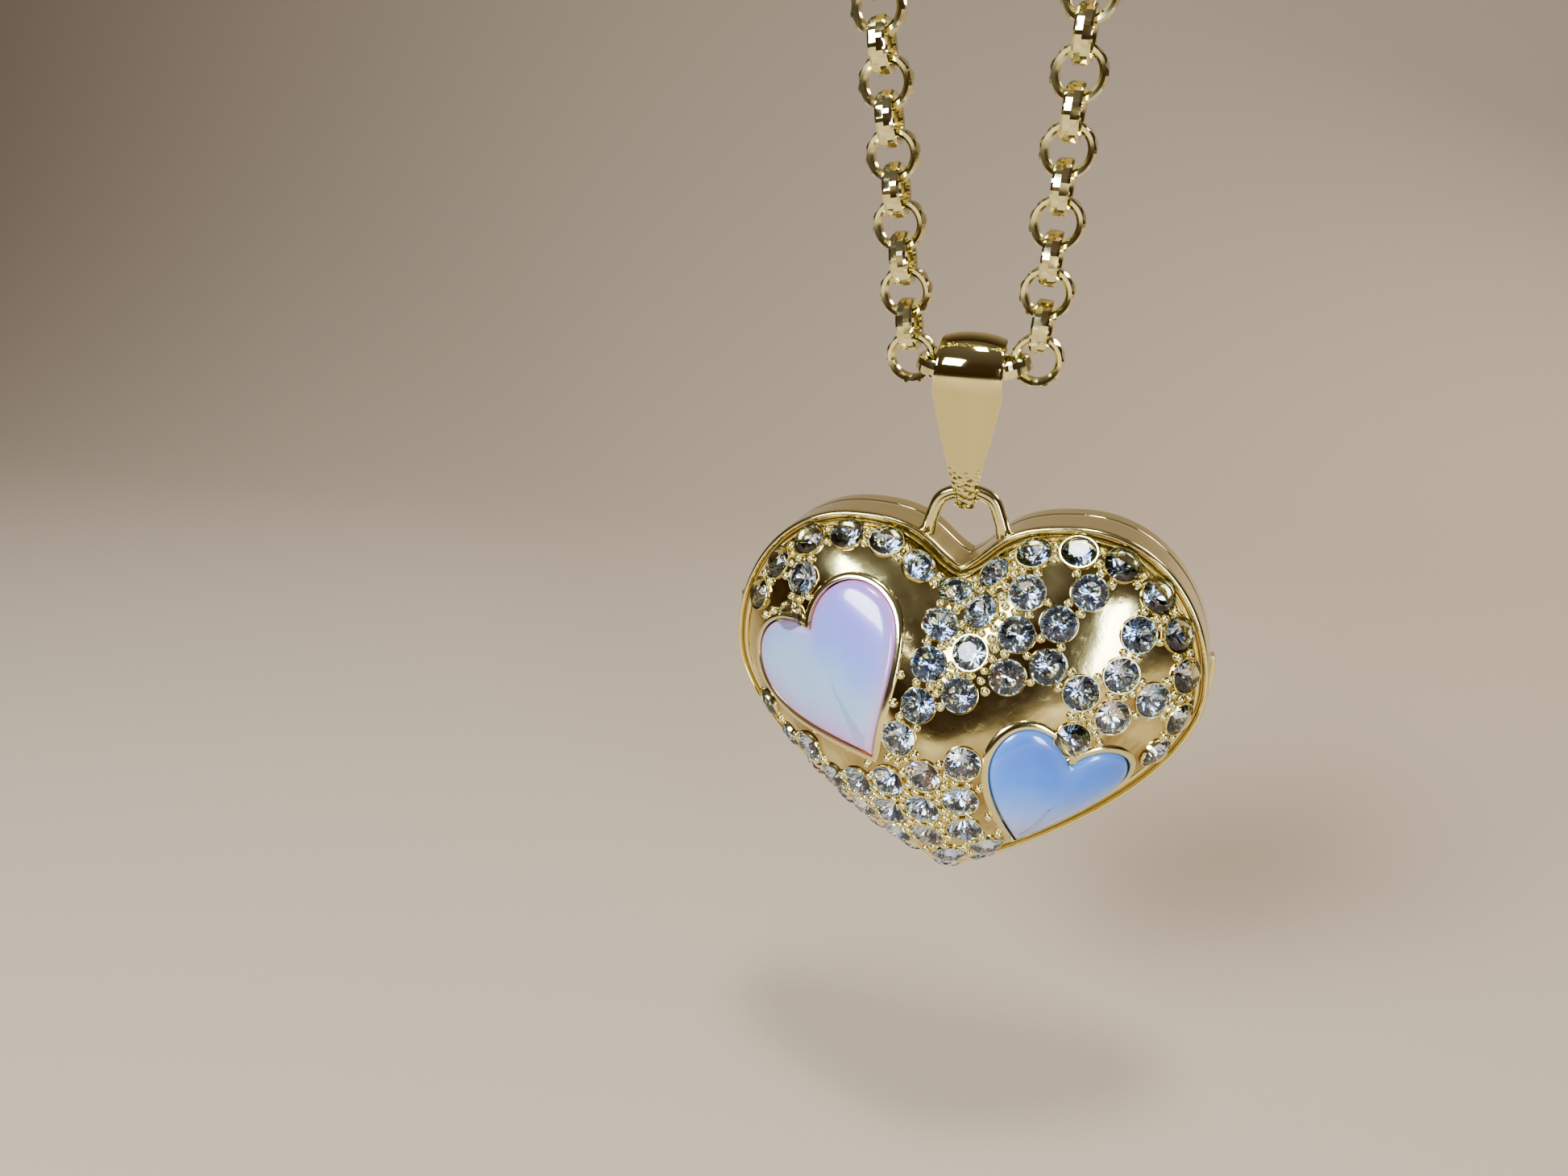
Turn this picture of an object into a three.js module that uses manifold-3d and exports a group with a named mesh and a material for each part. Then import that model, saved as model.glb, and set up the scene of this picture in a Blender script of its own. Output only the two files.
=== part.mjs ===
// A puffed heart locket on its bail and belcher chain, in millimetres, +Z up, front towards -Y.
//
// The locket is drawn in its own frame: X across, Z up from the top of the lobes, Y back from the
// plane of the front rim. One outer group then moves everything so that the origin is the point
// that the chain hangs from, halfway along the clasp end of the necklace.

import * as THREE from 'three';
import { mergeVertices } from 'three/addons/utils/BufferGeometryUtils.js';
import Module from 'manifold-3d';

const wasm = await Module();
wasm.setup();

const V = (x, y, z) => new THREE.Vector3(x, y, z);
const rad = THREE.MathUtils.degToRad;

// ---------------------------------------------------------------- driving sizes, the heart
const HALF_WIDTH = 15.8;
const HEART_HEIGHT = 25.3;
const CLEFT_DEPTH = 3.1;
const LOBE_TOP_X = 7.3;
const WIDEST_DROP = 10;
const CLEFT_ANGLE = rad(64);
const TIP_ANGLE = rad(70);

// ---------------------------------------------------------------- driving sizes, the two shells
const WALL_DEPTH = 5.1;
const SEAM_DEPTH = 3.2;
const SEAM_GAP = 0.05;
const WALL = 0.8;
const COVER_PLATE = 0.9;
const COVER_ROUND = 0.45;
const DOME_RISE = 7.0;
const DOME_CENTRE_DROP = 14.4;
const DOME_SPREAD = 1.66;
const DOME_FULLNESS = 0.62;
const DOME_CALM_RADIUS = 11;
const CAVITY_RISE = 3.6;
const CAVITY_EDGE = 2.6;
const LEDGE_WIDTH = 0.34;
const GROOVE_WIDTH = 0.2;
const GROOVE_DEPTH = 0.2;
const RIM_SOFTENING = 0.12;

// ---------------------------------------------------------------- driving sizes, the inside
const INSERT_GAP = 0.12;
const STACK_GAP = 0.03;
const FRAME_THICK = 0.35;
const FRAME_WIDTH = 1.2;
const WINDOW_THICK = 0.26;
const CARD_THICK = 0.2;

// ---------------------------------------------------------------- driving sizes, hinge and catch
const KNUCKLES = 3;
const KNUCKLE_LENGTH = 1.7;
const KNUCKLE_GAP = 0.06;
const KNUCKLE_RADIUS = 0.72;
const HINGE_PIN_RADIUS = 0.3;
const HINGE_RUNNING_GAP = 0.05;
const HINGE_STAND_OFF = 0.1;
const CATCH_WIDTH = 2.4;
const CATCH_THICK = 0.3;
const CATCH_REACH = 0.8;
const THUMB_TAB_WIDTH = 2.2;
const THUMB_TAB_REACH = 0.35;
const THUMB_TAB_THICK = 1.0;
const SOLDER_GAP = 0.03;

// ---------------------------------------------------------------- driving sizes, stones and inlays
const STONE_SEAT_RADIUS = 1.2;
const STONE_SEAT_DEPTH = 0.4;
const STONE_SEAT_SIDES = 7;
const STONE_RIM_INSET = 1.35;
const STONE_RIM_PITCH = 2.8;
const STONE_NEST = 2.7;
const STONE_CLEARANCE = 2.5;
const STONE_FILL_STEP = 0.3;
const STONE_LIP_OVERLAP = 0.04;
const INLAY_ASPECT = 0.97;
const INLAY_PROUD = 0.5;
const INLAY_DEPTH = 0.8;
const INLAY_GAP = 0.12;
const INLAY_FLOOR_GAP = 0.16;
const BEZEL_WIDTH = 0.42;
const BEZEL_PROUD = 0.12;
const INLAYS = {
  pink: { x: -0.465 * HALF_WIDTH, drop: 0.403 * HEART_HEIGHT, tilt: rad(37), width: 11.3 },
  blue: { x: 0.443 * HALF_WIDTH, drop: 0.672 * HEART_HEIGHT, tilt: rad(-16), width: 9.3 },
};

// ---------------------------------------------------------------- driving sizes, loop and bail
const LOOP_HALF_WIDTH = 2.2;
const LOOP_RISE = 1.6;
const LOOP_WIRE = 0.9;
const LOOP_DEPTH = 1.1;
const LOOP_BACK = 1.2;
const BAIL_LEAN = rad(17);
const BAIL_SWAY = rad(4);
const BAIL_LENGTH = 8.3;
const BAIL_EYE_GAP = 0.3;
const BAIL_THICK = 0.5;
const BAIL_WIDTH = 4.2;
const BAIL_TIP_WIDTH = 1.25;
const BAIL_LEG_DROP = 4.0;
const BAIL_HOOK_RADIUS = 0.78;
const BAIL_CROWN = 0.34;
const BAIL_SHARES = { leg: 0.42, knee: 0.6, eyeBack: 0.72, eyeTop: 0.92 };

// ---------------------------------------------------------------- driving sizes, chain and clasp
const LINK_RADIUS = 1.6;
const LINK_WIRE = 0.56;
const LINK_WIDTH = 1.0;
const LINK_PLAY = 0.14;
const LINK_SIDES = 14;
const RUN_LINKS = { left: 14, right: 12 };
const RUN_SPREAD = rad(5.8);
const RUN_FIRST_RISE = rad(10);
const RUN_SECOND_RISE = rad(16);
const CHAIN_LEAN = rad(4);
const RING_RADIUS = 2.1;
const RING_WIRE = 0.7;
const CLASP_THICK = 1.8;
const CLASP_EYE_THICK = 1.1;
const CLASP_SEAT_X = 0.75;
const CLASP_EYE_HOLE = 0.8;
const CLASP_EYE_WALL = 0.65;
const CLASP_HOOK_HOLE = 1.5;
const CLASP_HOOK_WALL = 0.9;
const CLASP_SLOT = 1.0;
const CLASP_SIDE_GAP = 0.08;
const CLASP_PIN_RADIUS = 0.35;
const CLASP_PIN_GAP = 0.05;
const CLASP_PIN_BACK = 1.75;
const CLASP_PIN_DROP = 0.6;
const SPRING_RADIUS = 0.36;
const SPRING_WIRE = 0.14;

// ---------------------------------------------------------------- finishes
const finish = (color, roughness, metalness, extra = {}) =>
  new THREE.MeshStandardMaterial({ color, roughness, metalness, ...extra });
const FINISH = {
  gold: () => finish(0xd9b871, 0.18, 1),
  darkGold: () => finish(0xb98b45, 0.3, 1),
  steel: () => finish(0xc9c4b8, 0.25, 1),
  pinkPearl: () => finish(0xd9c3e6, 0.2, 0),
  bluePearl: () => finish(0x7fb2e8, 0.2, 0),
  clear: () => finish(0xe8f0f2, 0.05, 0, { transparent: true, opacity: 0.35 }),
  paper: () => finish(0xf1ebdd, 0.85, 0),
};

// ---------------------------------------------------------------- solids and meshes
function solidOf(geometry) {
  const bare = geometry.clone();
  bare.deleteAttribute('normal');
  bare.deleteAttribute('uv');
  const merged = mergeVertices(bare, 1e-5);
  const mesh = new wasm.Mesh({
    numProp: 3,
    vertProperties: new Float32Array(merged.attributes.position.array),
    triVerts: new Uint32Array(merged.index.array),
  });
  return new wasm.Manifold(mesh);
}

function geometryOf(solid) {
  const mesh = solid.getMesh();
  const geometry = new THREE.BufferGeometry();
  geometry.setAttribute('position', new THREE.Float32BufferAttribute(mesh.vertProperties, 3));
  geometry.setIndex(new THREE.Uint32BufferAttribute(mesh.triVerts, 1));
  geometry.computeVertexNormals();
  return geometry;
}

function piece(parent, name, geometry, material) {
  const mesh = new THREE.Mesh(geometry, material);
  mesh.name = name;
  parent.add(mesh);
  return mesh;
}

// Closed surface through a stack of rings. A ring of one point closes that end as a fan, and a
// longer first or last ring closes as a fan about its own middle.
function loft(rings) {
  const stack = [...rings];
  const middle = (ring) => ring.reduce((sum, p) => sum.add(p), V(0, 0, 0)).divideScalar(ring.length);
  if (stack[0].length > 1) stack.unshift([middle(stack[0])]);
  if (stack.at(-1).length > 1) stack.push([middle(stack.at(-1))]);
  const starts = [];
  const positions = [];
  for (const ring of stack) {
    starts.push(positions.length / 3);
    for (const p of ring) positions.push(p.x, p.y, p.z);
  }
  const faces = [];
  for (let r = 0; r + 1 < stack.length; r += 1) {
    const near = stack[r].length;
    const far = stack[r + 1].length;
    const count = Math.max(near, far);
    for (let i = 0; i < count; i += 1) {
      const j = (i + 1) % count;
      const a = starts[r] + (near === 1 ? 0 : i);
      const b = starts[r] + (near === 1 ? 0 : j);
      const c = starts[r + 1] + (far === 1 ? 0 : i);
      const d = starts[r + 1] + (far === 1 ? 0 : j);
      if (near > 1) faces.push(a, b, c);
      if (far > 1) faces.push(b, d, c);
    }
  }
  const at = (k) => V(positions[3 * k], positions[3 * k + 1], positions[3 * k + 2]);
  let volume = 0;
  for (let f = 0; f < faces.length; f += 3) {
    volume += at(faces[f]).dot(at(faces[f + 1]).cross(at(faces[f + 2])));
  }
  if (volume < 0) faces.reverse();
  const geometry = new THREE.BufferGeometry();
  geometry.setAttribute('position', new THREE.Float32BufferAttribute(positions, 3));
  geometry.setIndex(faces);
  geometry.computeVertexNormals();
  return geometry;
}

// A cylinder about the line from one point to another.
function rod(from, to, radius, sides = 16) {
  const along = to.clone().sub(from);
  const geometry = new THREE.CylinderGeometry(radius, radius, along.length(), sides);
  const turn = new THREE.Quaternion().setFromUnitVectors(V(0, 1, 0), along.clone().normalize());
  geometry.applyQuaternion(turn);
  const middle = from.clone().add(to).multiplyScalar(0.5);
  geometry.translate(middle.x, middle.y, middle.z);
  return geometry;
}

function box(low, high) {
  const size = high.clone().sub(low);
  const geometry = new THREE.BoxGeometry(size.x, size.y, size.z);
  const middle = low.clone().add(high).multiplyScalar(0.5);
  geometry.translate(middle.x, middle.y, middle.z);
  return geometry;
}

// ---------------------------------------------------------------- the heart outline
const HALF_POINTS = 30;

// The right half of the outline as three cubic arcs: cleft to lobe top, lobe top to the widest
// point, and on to the tip.
function halfOutline() {
  const cleft = new THREE.Vector2(0, -CLEFT_DEPTH);
  const top = new THREE.Vector2(LOBE_TOP_X, 0);
  const side = new THREE.Vector2(HALF_WIDTH, -WIDEST_DROP);
  const tip = new THREE.Vector2(0, -HEART_HEIGHT);
  const leave = new THREE.Vector2(Math.sin(CLEFT_ANGLE), Math.cos(CLEFT_ANGLE));
  const arrive = new THREE.Vector2(Math.sin(TIP_ANGLE), Math.cos(TIP_ANGLE));
  const shoulder = HALF_WIDTH - LOBE_TOP_X;
  const flank = HEART_HEIGHT - WIDEST_DROP;
  const arcs = [
    new THREE.CubicBezierCurve(
      cleft,
      cleft.clone().addScaledVector(leave, 0.31 * LOBE_TOP_X),
      new THREE.Vector2(0.28 * LOBE_TOP_X, 0),
      top,
    ),
    new THREE.CubicBezierCurve(
      top,
      new THREE.Vector2(LOBE_TOP_X + 0.6 * shoulder, 0),
      new THREE.Vector2(HALF_WIDTH, -WIDEST_DROP * 0.47),
      side,
    ),
    new THREE.CubicBezierCurve(
      side,
      new THREE.Vector2(HALF_WIDTH, -WIDEST_DROP - 0.42 * flank),
      tip.clone().addScaledVector(arrive, 0.34 * HALF_WIDTH),
      tip,
    ),
  ];
  return arcs.flatMap((arc, k) => arc.getPoints(40).slice(k === 0 ? 0 : 1));
}

// Where a polyline that ends past the middle line crosses it.
function crossing(inside, outside) {
  const share = inside.x / (inside.x - outside.x);
  return new THREE.Vector2(0, inside.y + (outside.y - inside.y) * share);
}

// The right half of the outline moved inwards by inset (outwards if negative), from the middle
// line at the cleft to the middle line at the tip, as evenly spaced points.
function insetHalf(inset, count = HALF_POINTS) {
  const line = halfOutline();
  const moved = line.map((p, k) => {
    const before = line[Math.max(k - 1, 0)];
    const after = line[Math.min(k + 1, line.length - 1)];
    const way = after.clone().sub(before).normalize();
    return new THREE.Vector2(p.x + way.y * inset, p.y - way.x * inset);
  });
  const first = moved.findIndex((p) => p.x > 1e-6);
  const last = moved.findLastIndex((p) => p.x > 1e-6);
  const kept = moved.slice(first, last + 1);
  const start = first === 0 || inset > 0
    ? new THREE.Vector2(0, -CLEFT_DEPTH - Math.max(inset, 0))
    : crossing(kept[0], moved[first - 1]);
  const end = last === moved.length - 1
    ? new THREE.Vector2(0, -HEART_HEIGHT + Math.min(inset, 0))
    : crossing(kept.at(-1), moved[last + 1]);
  const path = [start, ...kept, end];
  const along = [0];
  for (let k = 1; k < path.length; k += 1) {
    along.push(along[k - 1] + path[k].distanceTo(path[k - 1]));
  }
  const points = [];
  let k = 1;
  for (let i = 0; i < count; i += 1) {
    const want = (along.at(-1) * i) / (count - 1);
    while (k < path.length - 1 && along[k] < want) k += 1;
    const share = (want - along[k - 1]) / (along[k] - along[k - 1]);
    points.push(path[k - 1].clone().lerp(path[k], Math.min(Math.max(share, 0), 1)));
  }
  return points;
}

// The whole closed outline at an inset, as (x, z) pairs in order.
function insetRing(inset, count = HALF_POINTS) {
  const half = insetHalf(inset, count);
  const left = half.slice(1, -1).reverse().map((p) => new THREE.Vector2(-p.x, p.y));
  return [...half, ...left];
}

const ringAt = (inset, y) => insetRing(inset).map((p) => V(p.x, y, p.y));
const onAxis = (y) => [V(0, y, -DOME_CENTRE_DROP)];

// A flat heart plate or, with a second inset, a flat heart frame.
function heartPlate(inset, low, high, holeInset) {
  const plate = solidOf(loft([onAxis(low), ringAt(inset, low), ringAt(inset, high), onAxis(high)]));
  if (holeInset === undefined) return plate;
  const bite = 1;
  return plate.subtract(heartPlate(holeInset, low - bite, high + bite));
}

// ---------------------------------------------------------------- the dome
const RIM_WIDTH = 2 * LEDGE_WIDTH + GROOVE_WIDTH;
const DOME_CENTRE = new THREE.Vector2(0, -DOME_CENTRE_DROP);
const DOME_RIM = insetHalf(RIM_WIDTH, 160).map((p) => {
  const out = p.clone().sub(DOME_CENTRE);
  return { angle: Math.atan2(out.x, out.y), radius: out.length() };
});

// Distance from the dome's centre to its rim, in the direction angle from straight up.
function domeReach(angle) {
  const turn = Math.abs(angle);
  let k = 1;
  while (k < DOME_RIM.length - 1 && DOME_RIM[k].angle < turn) k += 1;
  const a = DOME_RIM[k - 1];
  const b = DOME_RIM[k];
  const share = Math.min(Math.max((turn - a.angle) / (b.angle - a.angle), 0), 1);
  return a.radius + (b.radius - a.radius) * share;
}

// The contour lines are the heart at the rim and calm down to a circle at the top of the dome.
const contour = (reach, level) => {
  const heartShare = level ** 1.5;
  return level * (reach * heartShare + DOME_CALM_RADIUS * (1 - heartShare));
};

const domeHeight = (level) => DOME_RISE * (1 - level ** DOME_SPREAD) ** DOME_FULLNESS;

function domeLevel(x, z) {
  const out = new THREE.Vector2(x, z).sub(DOME_CENTRE);
  const distance = out.length();
  if (distance < 1e-6) return 0;
  const reach = domeReach(Math.atan2(out.x, out.y));
  let low = 0;
  let high = 1;
  for (let k = 0; k < 30; k += 1) {
    const level = (low + high) / 2;
    if (contour(reach, level) < distance) low = level;
    else high = level;
  }
  return high;
}

// The dome's surface over a point, and the way it faces there.
const domePoint = (x, z) => V(x, -domeHeight(domeLevel(x, z)), z);

function domeNormal(x, z) {
  const step = 0.12;
  const side = domePoint(x + step, z).sub(domePoint(x - step, z));
  const up = domePoint(x, z + step).sub(domePoint(x, z - step));
  return side.cross(up).normalize();
}

// ---------------------------------------------------------------- heart inlays on the dome
// The outline of an inlay of a width in its own flat plane, moved outwards by grow.
function inlayOutline(width, grow, count = 14) {
  const w = width / 2;
  const h = INLAY_ASPECT * w;
  const cleft = new THREE.Vector2(0, 0.66 * h);
  const top = new THREE.Vector2(0.52 * w, h);
  const side = new THREE.Vector2(w, 0.4 * h);
  const tip = new THREE.Vector2(0, -h);
  const arcs = [
    new THREE.CubicBezierCurve(
      cleft,
      new THREE.Vector2(0.1 * w, 0.84 * h),
      new THREE.Vector2(0.28 * w, h),
      top,
    ),
    new THREE.CubicBezierCurve(
      top,
      new THREE.Vector2(0.8 * w, h),
      new THREE.Vector2(w, 0.72 * h),
      side,
    ),
    new THREE.CubicBezierCurve(
      side,
      new THREE.Vector2(w, -0.08 * h),
      new THREE.Vector2(0.34 * w, -0.62 * h),
      tip,
    ),
  ];
  const half = arcs.flatMap((arc, k) => arc.getPoints(count / 2).slice(k === 0 ? 0 : 1));
  const left = half.slice(1, -1).reverse().map((p) => new THREE.Vector2(-p.x, p.y));
  const whole = [...half, ...left];
  return whole.map((p, k) => {
    const before = whole[(k + whole.length - 1) % whole.length];
    const after = whole[(k + 1) % whole.length];
    const way = after.clone().sub(before).normalize();
    return new THREE.Vector2(p.x - way.y * grow, p.y + way.x * grow);
  });
}

// A flat frame that touches the dome at an inlay's middle, turned by the inlay's tilt.
function inlayFrame({ x, drop, tilt, width }) {
  const origin = domePoint(x, -drop);
  const out = domeNormal(x, -drop);
  const up = V(0, 0, 1).addScaledVector(out, -out.z).normalize();
  const right = up.clone().cross(out).normalize();
  const across = right.clone().multiplyScalar(Math.cos(tilt)).addScaledVector(up, Math.sin(tilt));
  const along = up.clone().multiplyScalar(Math.cos(tilt)).addScaledVector(right, -Math.sin(tilt));
  return { origin, out, across, along, width };
}

// The dome's surface met from a point of an inlay's flat frame, looking along its facing way.
function dropOnDome(frame, p, lift) {
  const base = frame.origin.clone()
    .addScaledVector(frame.across, p.x)
    .addScaledVector(frame.along, p.y);
  const beyond = (h) => {
    const q = base.clone().addScaledVector(frame.out, h);
    return q.y < -domeHeight(domeLevel(q.x, q.z));
  };
  let low = -DOME_RISE;
  let high = 1.5;
  for (let k = 0; k < 30; k += 1) {
    const h = (low + high) / 2;
    if (beyond(h)) high = h;
    else low = h;
  }
  return base.addScaledVector(frame.out, low + lift);
}

// A heart slab that follows the dome: profile gives pairs of share of the outline and lift.
function domeSlab(frame, grow, profile) {
  const outline = inlayOutline(frame.width, grow);
  return loft(profile.map(([share, lift]) => (share === 0
    ? [dropOnDome(frame, new THREE.Vector2(0, 0), lift)]
    : outline.map((p) => dropOnDome(frame, p.clone().multiplyScalar(share), lift)))));
}

const PILLOW = [[0, 1], [0.4, 0.96], [0.7, 0.84], [0.88, 0.6], [0.97, 0.25]];

function inlayGeometry(frame) {
  const top = PILLOW.map(([share, lift]) => [share, lift * INLAY_PROUD]);
  const under = [[1, -0.1], [1, -INLAY_DEPTH], [0.6, -INLAY_DEPTH], [0, -INLAY_DEPTH]];
  return domeSlab(frame, 0, [...top, ...under]);
}

function addInlaySeat(shell, frame) {
  const wallTop = BEZEL_PROUD;
  const floor = -INLAY_DEPTH - INLAY_FLOOR_GAP;
  const lip = domeSlab(frame, INLAY_GAP + BEZEL_WIDTH, [
    [0, wallTop], [0.5, wallTop], [1, wallTop], [1, floor], [0.5, floor], [0, floor],
  ]);
  const hollow = domeSlab(frame, INLAY_GAP, [
    [0, 2], [0.5, 2], [1, 2], [1, floor], [0.6, floor], [0, floor],
  ]);
  return shell.add(solidOf(lip)).subtract(solidOf(hollow));
}

// ---------------------------------------------------------------- the stone seats
function insideOutline(p, outline) {
  let inside = false;
  outline.forEach((a, k) => {
    const b = outline[(k + 1) % outline.length];
    const spans = a.y > p.y !== b.y > p.y;
    if (spans && p.x < a.x + ((b.x - a.x) * (p.y - a.y)) / (b.y - a.y)) inside = !inside;
  });
  return inside;
}

// The rim row's centres, evenly spaced along one half and mirrored.
function rimRow() {
  const half = insetHalf(STONE_RIM_INSET, 200).map((p) => domePoint(p.x, p.y));
  const along = [0];
  for (let k = 1; k < half.length; k += 1) {
    along.push(along[k - 1] + half[k].distanceTo(half[k - 1]));
  }
  const count = Math.max(Math.round(along.at(-1) / STONE_RIM_PITCH), 1);
  const row = [];
  for (let j = 0; j <= count; j += 1) {
    const p = half[along.findIndex((s) => s >= (j * along.at(-1)) / count - 1e-9)];
    for (const side of p.x < 0.05 ? [1] : [1, -1]) row.push(V(side * p.x, p.y, p.z));
  }
  return row;
}

// The two places on the dome that are a nesting distance from both of two stones.
function nestPlaces(a, b) {
  const middle = a.clone().add(b).multiplyScalar(0.5);
  const out = domeNormal(middle.x, middle.z);
  const across = out.clone().cross(b.clone().sub(a)).normalize();
  const aside = Math.sqrt(STONE_NEST ** 2 - a.distanceToSquared(b) / 4);
  return [aside, -aside].map((step) => {
    const origin = middle.clone().addScaledVector(across, step);
    const flat = { origin, out, across, along: across };
    const q = dropOnDome(flat, new THREE.Vector2(0, 0), 0);
    return domePoint(q.x, q.z);
  });
}

// Centres of the stones: the rim row first, then inwards, each stone nested against two that are
// already there, and last a fill of the gaps from the top down. None stands where an inlay or
// another stone is in the way.
function stoneSites(frames) {
  const margin = INLAY_GAP + BEZEL_WIDTH + STONE_SEAT_RADIUS - STONE_LIP_OVERLAP;
  const region = insetRing(STONE_RIM_INSET - 0.05, 160);
  const borders = frames.map((frame) => inlayOutline(frame.width, margin));
  const onInlay = (p) => frames.some((frame, k) => {
    const away = p.clone().sub(frame.origin);
    return insideOutline(new THREE.Vector2(away.dot(frame.across), away.dot(frame.along)), borders[k]);
  });
  const sites = [];
  const settle = (p) => {
    const clear = sites.every((s) => s.distanceTo(p) > STONE_CLEARANCE);
    if (clear && !onInlay(p)) sites.push(p);
  };
  rimRow().forEach(settle);
  for (let i = 1; i < sites.length; i += 1) {
    for (let j = 0; j < i; j += 1) {
      if (sites[i].distanceTo(sites[j]) > 1.6 * STONE_NEST) continue;
      nestPlaces(sites[i], sites[j])
        .filter((p) => insideOutline(new THREE.Vector2(p.x, p.z), region))
        .forEach(settle);
    }
  }
  for (let row = 1; row * STONE_FILL_STEP < HEART_HEIGHT; row += 1) {
    const columns = Math.floor(HALF_WIDTH / STONE_FILL_STEP);
    for (let column = -columns; column <= columns; column += 1) {
      const p = new THREE.Vector2(column * STONE_FILL_STEP, -row * STONE_FILL_STEP);
      if (insideOutline(p, region)) settle(domePoint(p.x, p.y));
    }
  }
  return sites;
}

function cutStoneSeats(shell, frames) {
  let cut = shell;
  for (const site of stoneSites(frames)) {
    const out = domeNormal(site.x, site.z);
    const floor = site.clone().addScaledVector(out, -STONE_SEAT_DEPTH);
    const above = site.clone().addScaledVector(out, 1);
    cut = cut.subtract(solidOf(rod(floor, above, STONE_SEAT_RADIUS, STONE_SEAT_SIDES)));
  }
  return cut;
}

// ---------------------------------------------------------------- hinge barrel
const HINGE_X = -(HALF_WIDTH + HINGE_STAND_OFF);
const HINGE_LENGTH = KNUCKLES * KNUCKLE_LENGTH + (KNUCKLES - 1) * KNUCKLE_GAP;

// Lowest and highest z of a knuckle, counted from the bottom.
function knuckleSpan(k) {
  const low = -WIDEST_DROP - HINGE_LENGTH / 2 + k * (KNUCKLE_LENGTH + KNUCKLE_GAP);
  return [low, low + KNUCKLE_LENGTH];
}

function hingeRod([low, high], radius, extra = 0) {
  return solidOf(rod(V(HINGE_X, SEAM_DEPTH, low - extra), V(HINGE_X, SEAM_DEPTH, high + extra), radius));
}

// Adds this half's knuckles, clears the other half's, and bores the barrel for the pin.
function hingeHalf(shell, own) {
  let solid = shell;
  for (let k = 0; k < KNUCKLES; k += 1) {
    const mine = (k % 2 === 0) === own;
    const span = knuckleSpan(k);
    if (mine) solid = solid.add(hingeRod(span, KNUCKLE_RADIUS));
    else solid = solid.subtract(hingeRod(span, KNUCKLE_RADIUS + HINGE_RUNNING_GAP, KNUCKLE_GAP));
  }
  const whole = [knuckleSpan(0)[0], knuckleSpan(KNUCKLES - 1)[1]];
  return solid.subtract(hingeRod(whole, HINGE_PIN_RADIUS + HINGE_RUNNING_GAP, 1));
}

// ---------------------------------------------------------------- the front half
const FRONT_SEAM = SEAM_DEPTH - SEAM_GAP / 2;
const BACK_SEAM = SEAM_DEPTH + SEAM_GAP / 2;
const STACK = FRAME_THICK + WINDOW_THICK + CARD_THICK + 3 * STACK_GAP;

function domeRings() {
  const levels = [0.99, 0.96, 0.91, 0.84, 0.75, 0.64, 0.5, 0.34, 0.17];
  const rim = insetRing(RIM_WIDTH);
  const rings = levels.map((level) => rim.map((p) => {
    const out = p.clone().sub(DOME_CENTRE);
    const reach = contour(out.length(), level);
    const q = DOME_CENTRE.clone().addScaledVector(out.normalize(), reach);
    return V(q.x, -domeHeight(level), q.y);
  }));
  return [...rings, [V(0, -DOME_RISE, -DOME_CENTRE_DROP)]];
}

function cavityRings() {
  const edge = insetRing(CAVITY_EDGE);
  const start = FRONT_SEAM - STACK - 0.6;
  const steps = [0, 30, 55, 75];
  const rings = steps.map((degrees) => edge.map((p) => {
    const q = DOME_CENTRE.clone().lerp(p, Math.cos(rad(degrees)));
    return V(q.x, start - CAVITY_RISE * Math.sin(rad(degrees)), q.y);
  }));
  return [[V(0, start - CAVITY_RISE, -DOME_CENTRE_DROP)], ...rings.reverse()];
}

function frontShell(frames) {
  const grooveStart = LEDGE_WIDTH;
  const grooveEnd = LEDGE_WIDTH + GROOVE_WIDTH;
  const shelf = FRONT_SEAM - STACK;
  const shell = solidOf(loft([
    ...cavityRings(),
    ringAt(CAVITY_EDGE, shelf),
    ringAt(WALL, shelf),
    ringAt(WALL, FRONT_SEAM),
    ringAt(0, FRONT_SEAM),
    ringAt(0, RIM_SOFTENING),
    ringAt(RIM_SOFTENING, 0),
    ringAt(grooveStart, 0),
    ringAt(grooveStart + 0.03, GROOVE_DEPTH),
    ringAt(grooveEnd - 0.03, GROOVE_DEPTH),
    ringAt(grooveEnd, 0),
    ringAt(RIM_WIDTH, 0),
    ...domeRings(),
  ]));
  const seated = frames.reduce((solid, frame) => addInlaySeat(solid, frame), shell);
  return hingeHalf(cutStoneSeats(seated, frames), true);
}

// ---------------------------------------------------------------- the back half
const COVER_FLOOR = WALL_DEPTH - COVER_PLATE;

function backCover() {
  const shell = solidOf(loft([
    onAxis(COVER_FLOOR),
    ringAt(WALL, COVER_FLOOR),
    ringAt(WALL, BACK_SEAM),
    ringAt(0, BACK_SEAM),
    ringAt(0, WALL_DEPTH - COVER_ROUND),
    ringAt(0.3 * COVER_ROUND, WALL_DEPTH - 0.3 * COVER_ROUND),
    ringAt(COVER_ROUND, WALL_DEPTH),
    onAxis(WALL_DEPTH),
  ]));
  return hingeHalf(shell, false);
}

// A soldered block keeps a hair's gap to the wall that it is fixed on.
const outerWall = (grow) => heartPlate(-grow, -1, WALL_DEPTH + 1);

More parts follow.
